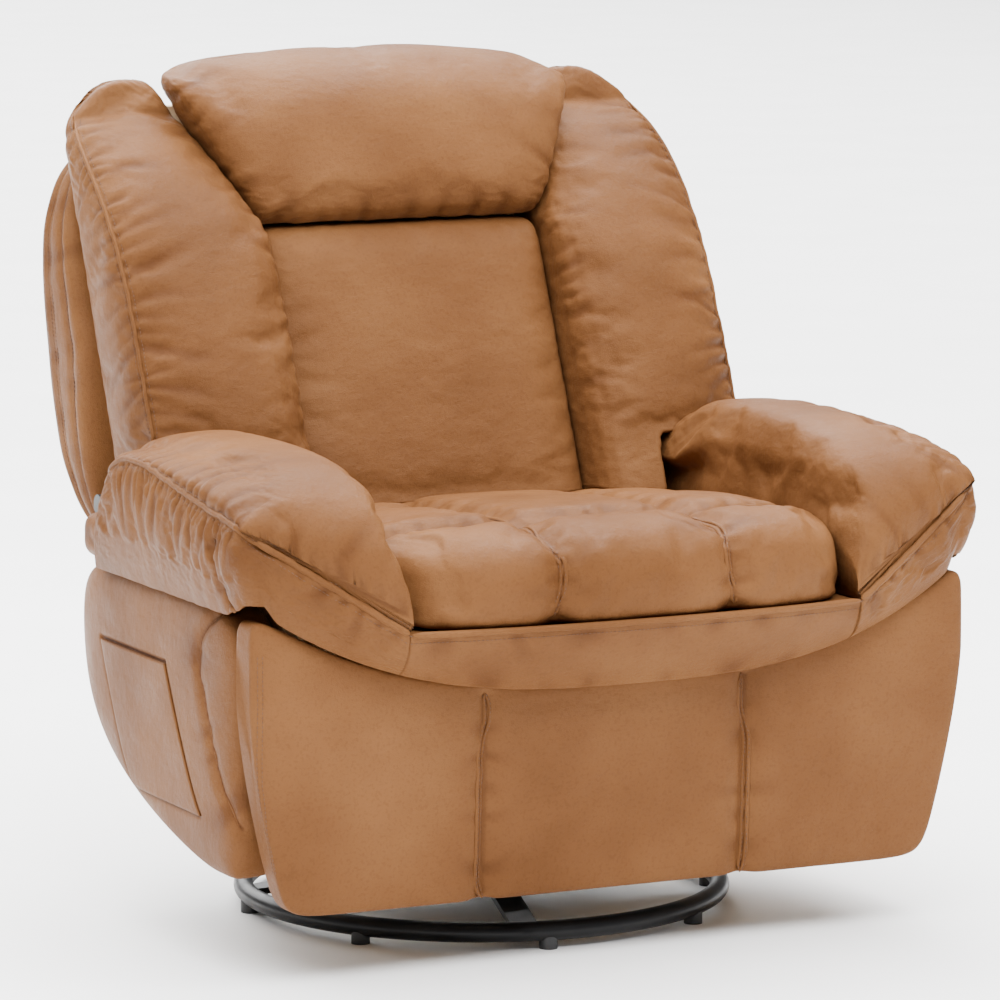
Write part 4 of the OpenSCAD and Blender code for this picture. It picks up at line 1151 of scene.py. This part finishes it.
pillow_rings = bag_rings(pillow_point, ring_section(5.0, 240, 65), (40, 8), (5, 3), 5, 4)
head_pillow = sewn_form("head_pillow_cover", pillow_rings, 260, 150, pillow_held, 6.0, 0.022, 63)
for k, side in enumerate((-1, 1)):
    gather(head_pillow, pillow_side(side), 80 + k, 0.020, 0.0014, 0.050, 0.0055)
pillow_foot = line_at(np.linspace(-184, 184, 40), face_y(812.0) - 2.0, 810.0)
gather(head_pillow, pillow_foot, 84, 0.030, 0.0012, 0.036, 0.0060)
upholster(head_pillow, "back", 0.8, "head_pillow")


# Wings: a long fibre-filled roll down each side of the back, its front piece
# joined to a gathered side gusset by a welted, twice-stitched seam.
wing_shares = [(-1, -.2), (-.985, -.5), (-.93, -.74), (-.82, -.89), (-.62, -.97), (-.35, -1), (-.05, -1),
               (.25, -.97), (.52, -.9), (.74, -.8), (.9, -.7), (.98, -.63),
               (1, -.4), (1, 0), (.99, .6), (.94, 1), (0, 1), (-.9, 1), (-.98, .5)]


wing_low, wing_run, wing_lift = 573.0, 359.0, 30.0
shoulder_drop, shoulder_fall = 31.0, 62.0


def wing_welt(z):
    s = (z - wing_low) / wing_run
    return 82.0 + 150.0 * s + 127.0 * s ** 4


def wing_in(z):
    return np.maximum(back_half, pillow_half(z)) + pad_gap


def wing_point(u, w, v):
    x0 = mix(back_half, wing_half, u)
    fall = shoulder_fall * (np.maximum(0.0, x0 - 250.0) / 147.0) ** 2.2
    z = mix(tuck_low, chair_height - shoulder_drop - fall, v)
    x = mix(wing_in(z), wing_half, u)
    return x, mix(tucked(np.minimum(wing_welt(z), frame_y(z)) - wing_lift, x, z), frame_y(z) - pad_gap, w), z


def wing_line(side):
    """The welt between a wing's front and its gusset, from behind the arm upwards."""
    places = []
    for v in np.linspace(-0.50, 0.985, 90):
        su, sw = two_ends(v, 40, 9), two_ends(v, 40, 5)
        places.append(wing_point(0.975 * su, 1.0 - 1.655 * sw, v))
    return np.array(places, float) * np.array([side, 1.0, 1.0]) * MM


def wing_held(rings):
    x, y, z = np.moveaxis(rings, 2, 0)
    x = np.abs(x)
    welt = (x > wing_half - 10.0) & (np.abs(y - tucked(wing_welt(z) - wing_lift, x, z) - 22.0) < 9.0)
    return np.where((x < wing_in(z) + 5.0) | (y > frame_y(z) - 14.0) | welt | (z < 560.0), 1.0, 0.0)


def wing(side, tag, number):
    shape = bag_rings(wing_point, loop_section(wing_shares, 104, 66, 5), (40, 14), (40, 7), 40, 6)
    piece = sewn_form("wing_cover_" + tag, flipped(shape, side), 210, 230, wing_held, 7.0, 0.035, 65 + number)
    welt = wing_line(side)
    gather(piece, welt, 86 + number, 0.016, 0.0016, 0.065, 0.0044)
    z = np.linspace(600.0, 970.0, 60)
    inner = line_at(side * (wing_in(z) + 2.0), wing_welt(z) - 2.0, z)
    gather(piece, inner, 88 + number, 0.028, 0.0014, 0.044, 0.0055)
    draw_in(piece, [welt], 0.009, 0.0020, 0.0)
    upholster(piece, "back", 0.75, "wing_" + tag)
    return piece, welt


wing_left, wing_welt_left = wing(1.0, "left", 0)
wing_right, wing_welt_right = wing(-1.0, "right", 1)


# Welts: thin cord wrapped in a strip of the same leather and caught in the
# seam, along both arms, across the seat front and down the wings.
skins = {}


def finished_skins(pieces):
    return [skins.get(piece.name) or skins.setdefault(piece.name, skin_of(piece)) for piece in pieces]


def on_skin(pieces, points, lift):
    """Lays points on the nearest of some pieces; returns the points and normals."""
    trees = finished_skins(pieces)
    hits = [min((tree.find_nearest(Vector(p)) for tree in trees), key=lambda hit: hit[3]) for p in points]
    return np.array([hit[0] + hit[1] * lift for hit in hits]), np.array([hit[1] for hit in hits])


def courses(on, up):
    """Directions along a line on the skin and across it."""
    along = np.gradient(on, axis=0)
    along /= np.linalg.norm(along, axis=1)[:, None]
    across = np.cross(up, along)
    return along, across / np.linalg.norm(across, axis=1)[:, None]


def welt(name, line, radius, body, around=10):
    """A closed tube along a line, with rounded ends, in leather."""
    line = eased(line, 2)
    along = np.gradient(line, axis=0)
    along /= np.linalg.norm(along, axis=1)[:, None]
    rings = []
    turn = np.linspace(0, 2 * math.pi, around + 1)[:-1]
    first = np.cross(along[0], [0.0, 0.0, 1.0])
    if np.linalg.norm(first) < 0.1:
        first = np.cross(along[0], [1.0, 0.0, 0.0])
    count = len(line)
    for k in range(count):
        first = first - along[k] * np.dot(first, along[k])
        first /= np.linalg.norm(first)
        second = np.cross(along[k], first)
        share = min(1.0, math.sqrt(min(k + 0.3, count - 0.7 - k) / 2.5))
        circle = np.cos(turn)[:, None] * first + np.sin(turn)[:, None] * second
        rings.append(line[k] + radius * share * circle)
    return trim(new_piece(name, grid_mesh(name, np.array(rings))), body)


arm_cord, seat_cord, wing_cord = 0.0042, 0.0038, 0.0025
for tag, (pad, band, edge, front, gusset) in (("left", arm_left), ("right", arm_right)):
    whole = smooth_line(np.vstack([front[::4], edge[::5], edge[-1:]]) / MM, 160)
    welt("arm_welt_" + tag, on_skin([pad], whole, 0.0)[0] - np.array([0.0, 0.0, 0.0006]), arm_cord, "seat_body")
seat_x = np.linspace(-288, 288, 110)
welt("seat_welt", line_at(seat_x, lip_y(seat_x) - 0.6, welt_z + 0.8), seat_cord, "seat_body")
for tag, piece, line in (("left", wing_left, wing_welt_left), ("right", wing_right, wing_welt_right)):
    welt("wing_welt_" + tag, on_skin([piece], line, 0.0003)[0], wing_cord, "back")


# Double-needle seams: two turned-in edges of the cover meet in a deep groove
# and are sewn down flat, which leaves a raised ridge on each side of it.
ridge_profile = [(-6.5, -2.2), (-5.6, -0.3), (-4.2, 0.75), (-2.6, 1.0), (-1.3, 0.7), (-0.5, -0.3), (0.0, -1.3),
                 (0.5, -0.3), (1.3, 0.7), (2.6, 1.0), (4.2, 0.75), (5.6, -0.3), (6.5, -2.2), (3.0, -3.4),
                 (-3.0, -3.4)]
# Painted shade across the ridge's section, darkest in the groove and on its underside.
groove_shade = [0.1, 0.0, 0.0, 0.0, 0.15, 0.6, 1.0, 0.6, 0.15, 0.0, 0.0, 0.0, 0.1, 0.6, 0.6]


def seam_ridge(name, pieces, lines, body, lift=0.0004, size=1.0):
    made = []
    for k, line in enumerate(lines):
        run = run_along(line)
        fine = np.linspace(0.0, run[-1], max(20, int(run[-1] / 0.003)))
        line = np.stack([np.interp(fine, run, line[:, c]) for c in range(3)], axis=1)
        middle = Vector(line[len(line) // 2])
        on, up = laid_out(min(finished_skins(pieces), key=lambda tree: tree.find_nearest(middle)[3]), line)
        along, across = courses(on, up)
        up = np.cross(along, across)
        ends = np.clip(np.minimum(np.arange(len(on)), np.arange(len(on))[::-1]) / 3.0, 0.05, 1.0)[:, None, None]
        profile = np.array(ridge_profile) * MM * size
        rings = (on[:, None] + across[:, None] * profile[None, :, :1] * ends
                 + up[:, None] * (profile[None, :, 1:] * ends + lift))
        piece = new_piece("%s_%d" % (name, k + 1), grid_mesh(name, rings))
        # Painted shade in the groove between the two ridges.
        store_painted_shade(piece, np.append(np.tile(groove_shade, len(on)), [0.5, 0.5]))
        made.append(trim(piece, body))
    return made


channel_ridges = seam_ridge("channel_seam", [seat_cover], seat_channels, "seat_body")
seam_ridge("cross_seam", [seat_cover], [seat_cross], "seat_body", -0.0006, 0.8)
panel_ridges = seam_ridge("panel_seam", [panel_cover], panel_seams, "footrest")
seam_ridge("strip_seam", [side_left, side_right], [strip_left, strip_right], "seat_body", -0.0006, 0.8)


# Stitching: heavy bonded polyester thread a shade darker than the hide, in
# lockstitch rows four millimetres from the seams. Geometry nodes lay each row.
def stitch_tree(thread):
    tree = bpy.data.node_groups.new("stitch_rows", "GeometryNodeTree")
    face = tree.interface
    face.new_socket("Rows", in_out="INPUT", socket_type="NodeSocketGeometry")
    for label, value in (("Pitch", 0.0052), ("Stitch Length", 0.0038), ("Thread Width", 0.0009)):
        face.new_socket(label, in_out="INPUT", socket_type="NodeSocketFloat").default_value = value
    face.new_socket("Stitches", in_out="OUTPUT", socket_type="NodeSocketGeometry")
    entry, leave, curve, even, ball, size, form, tangent, turn, place, real, coat = map(tree.nodes.new, (
        "NodeGroupInput", "NodeGroupOutput", "GeometryNodeMeshToCurve", "GeometryNodeResampleCurve",
        "GeometryNodeMeshUVSphere", "ShaderNodeCombineXYZ", "GeometryNodeTransform", "GeometryNodeInputTangent",
        "FunctionNodeAlignRotationToVector", "GeometryNodeInstanceOnPoints", "GeometryNodeRealizeInstances",
        "GeometryNodeSetMaterial"))
    even.mode, turn.axis = "LENGTH", "X"
    for label, value in (("Segments", 6), ("Rings", 5), ("Radius", 0.5)):
        ball.inputs[label].default_value = value
    coat.inputs["Material"].default_value = thread
    for start, out, end, into in (
            (entry, "Rows", curve, "Mesh"), (curve, "Curve", even, "Curve"), (entry, "Pitch", even, "Length"),
            (entry, "Stitch Length", size, "X"), (entry, "Thread Width", size, "Y"),
            (entry, "Thread Width", size, "Z"), (ball, "Mesh", form, "Geometry"),
            (size, "Vector", form, "Scale"), (tangent, "Tangent", turn, "Vector"),
            (even, "Curve", place, "Points"), (form, "Geometry", place, "Instance"),
            (turn, "Rotation", place, "Rotation"),
            (place, "Instances", real, "Geometry"), (real, "Geometry", coat, "Geometry"),
            (coat, "Geometry", leave, "Stitches")):
        wire(tree, start, out, end, into)
    return tree


def beside(pieces, lines, gap):
    """Rows on both sides of each seam, laid on the pieces at a gap along the skin."""
    rows = []
    for line in lines:
        on, up = on_skin(pieces, eased(line, 2), 0.0)
        across = eased(courses(on, up)[1], 4)
        rows += [eased(on_skin(pieces, on + across * offset, 0.0002)[0], 2) for offset in (-gap, gap)]
    return rows


stitch_nodes = stitch_tree(finish("seam_thread", (900.0, 2.0), [(0.3, (0.050, 0.0170, 0.0048)),
                                                                 (0.7, (0.080, 0.0300, 0.0090))],
                                  0.55, grain=(900.0, 2.0), depth=0.0002))


def stitch_rows(name, rows, body):
    points, edges = [], []
    for row in rows:
        base = len(points)
        points += [tuple(p) for p in row]
        edges += [(base + k, base + k + 1) for k in range(len(row) - 1)]
    mesh = bpy.data.meshes.new(name + "_rows")
    mesh.from_pydata(points, edges, [])
    holder = new_piece(name + "_rows", mesh)
    holder.modifiers.new("stitches", "NODES").node_group = stitch_nodes
    bpy.context.view_layer.update()
    result = bpy.data.meshes.new_from_object(holder.evaluated_get(bpy.context.evaluated_depsgraph_get()))
    bpy.data.objects.remove(holder)
    result.polygons.foreach_set("use_smooth", [True] * len(result.polygons))
    piece = new_piece(name, result)
    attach(piece, body)


seat_rows = []
for pad, band, edge, front, gusset in (arm_left, arm_right):
    seat_rows += beside([pad], (edge, front), 0.0075) + beside([band], (edge, front), 0.0075)
    seat_rows += beside([band], [gusset], 0.004)
seat_rows += beside(channel_ridges, [line[3:] for line in seat_channels], 0.0030)
stitch_rows("seat_stitching", seat_rows + beside([seat_lip], [lip_top_line], 0.007), "seat_body")
panel_edge = panel_seam(-panel_half + 11.0, 130.0, 385.0)
stitch_rows("panel_stitching",
            beside(panel_ridges, panel_seams, 0.0030) + beside([panel_cover], [panel_edge], 0.003), "footrest")
wing_rows = beside([wing_left], [wing_welt_left], 0.0065) + beside([wing_right], [wing_welt_right], 0.0065)
stitch_rows("back_stitching", wing_rows + beside([back_shell], shell_lines, 0.004), "back")
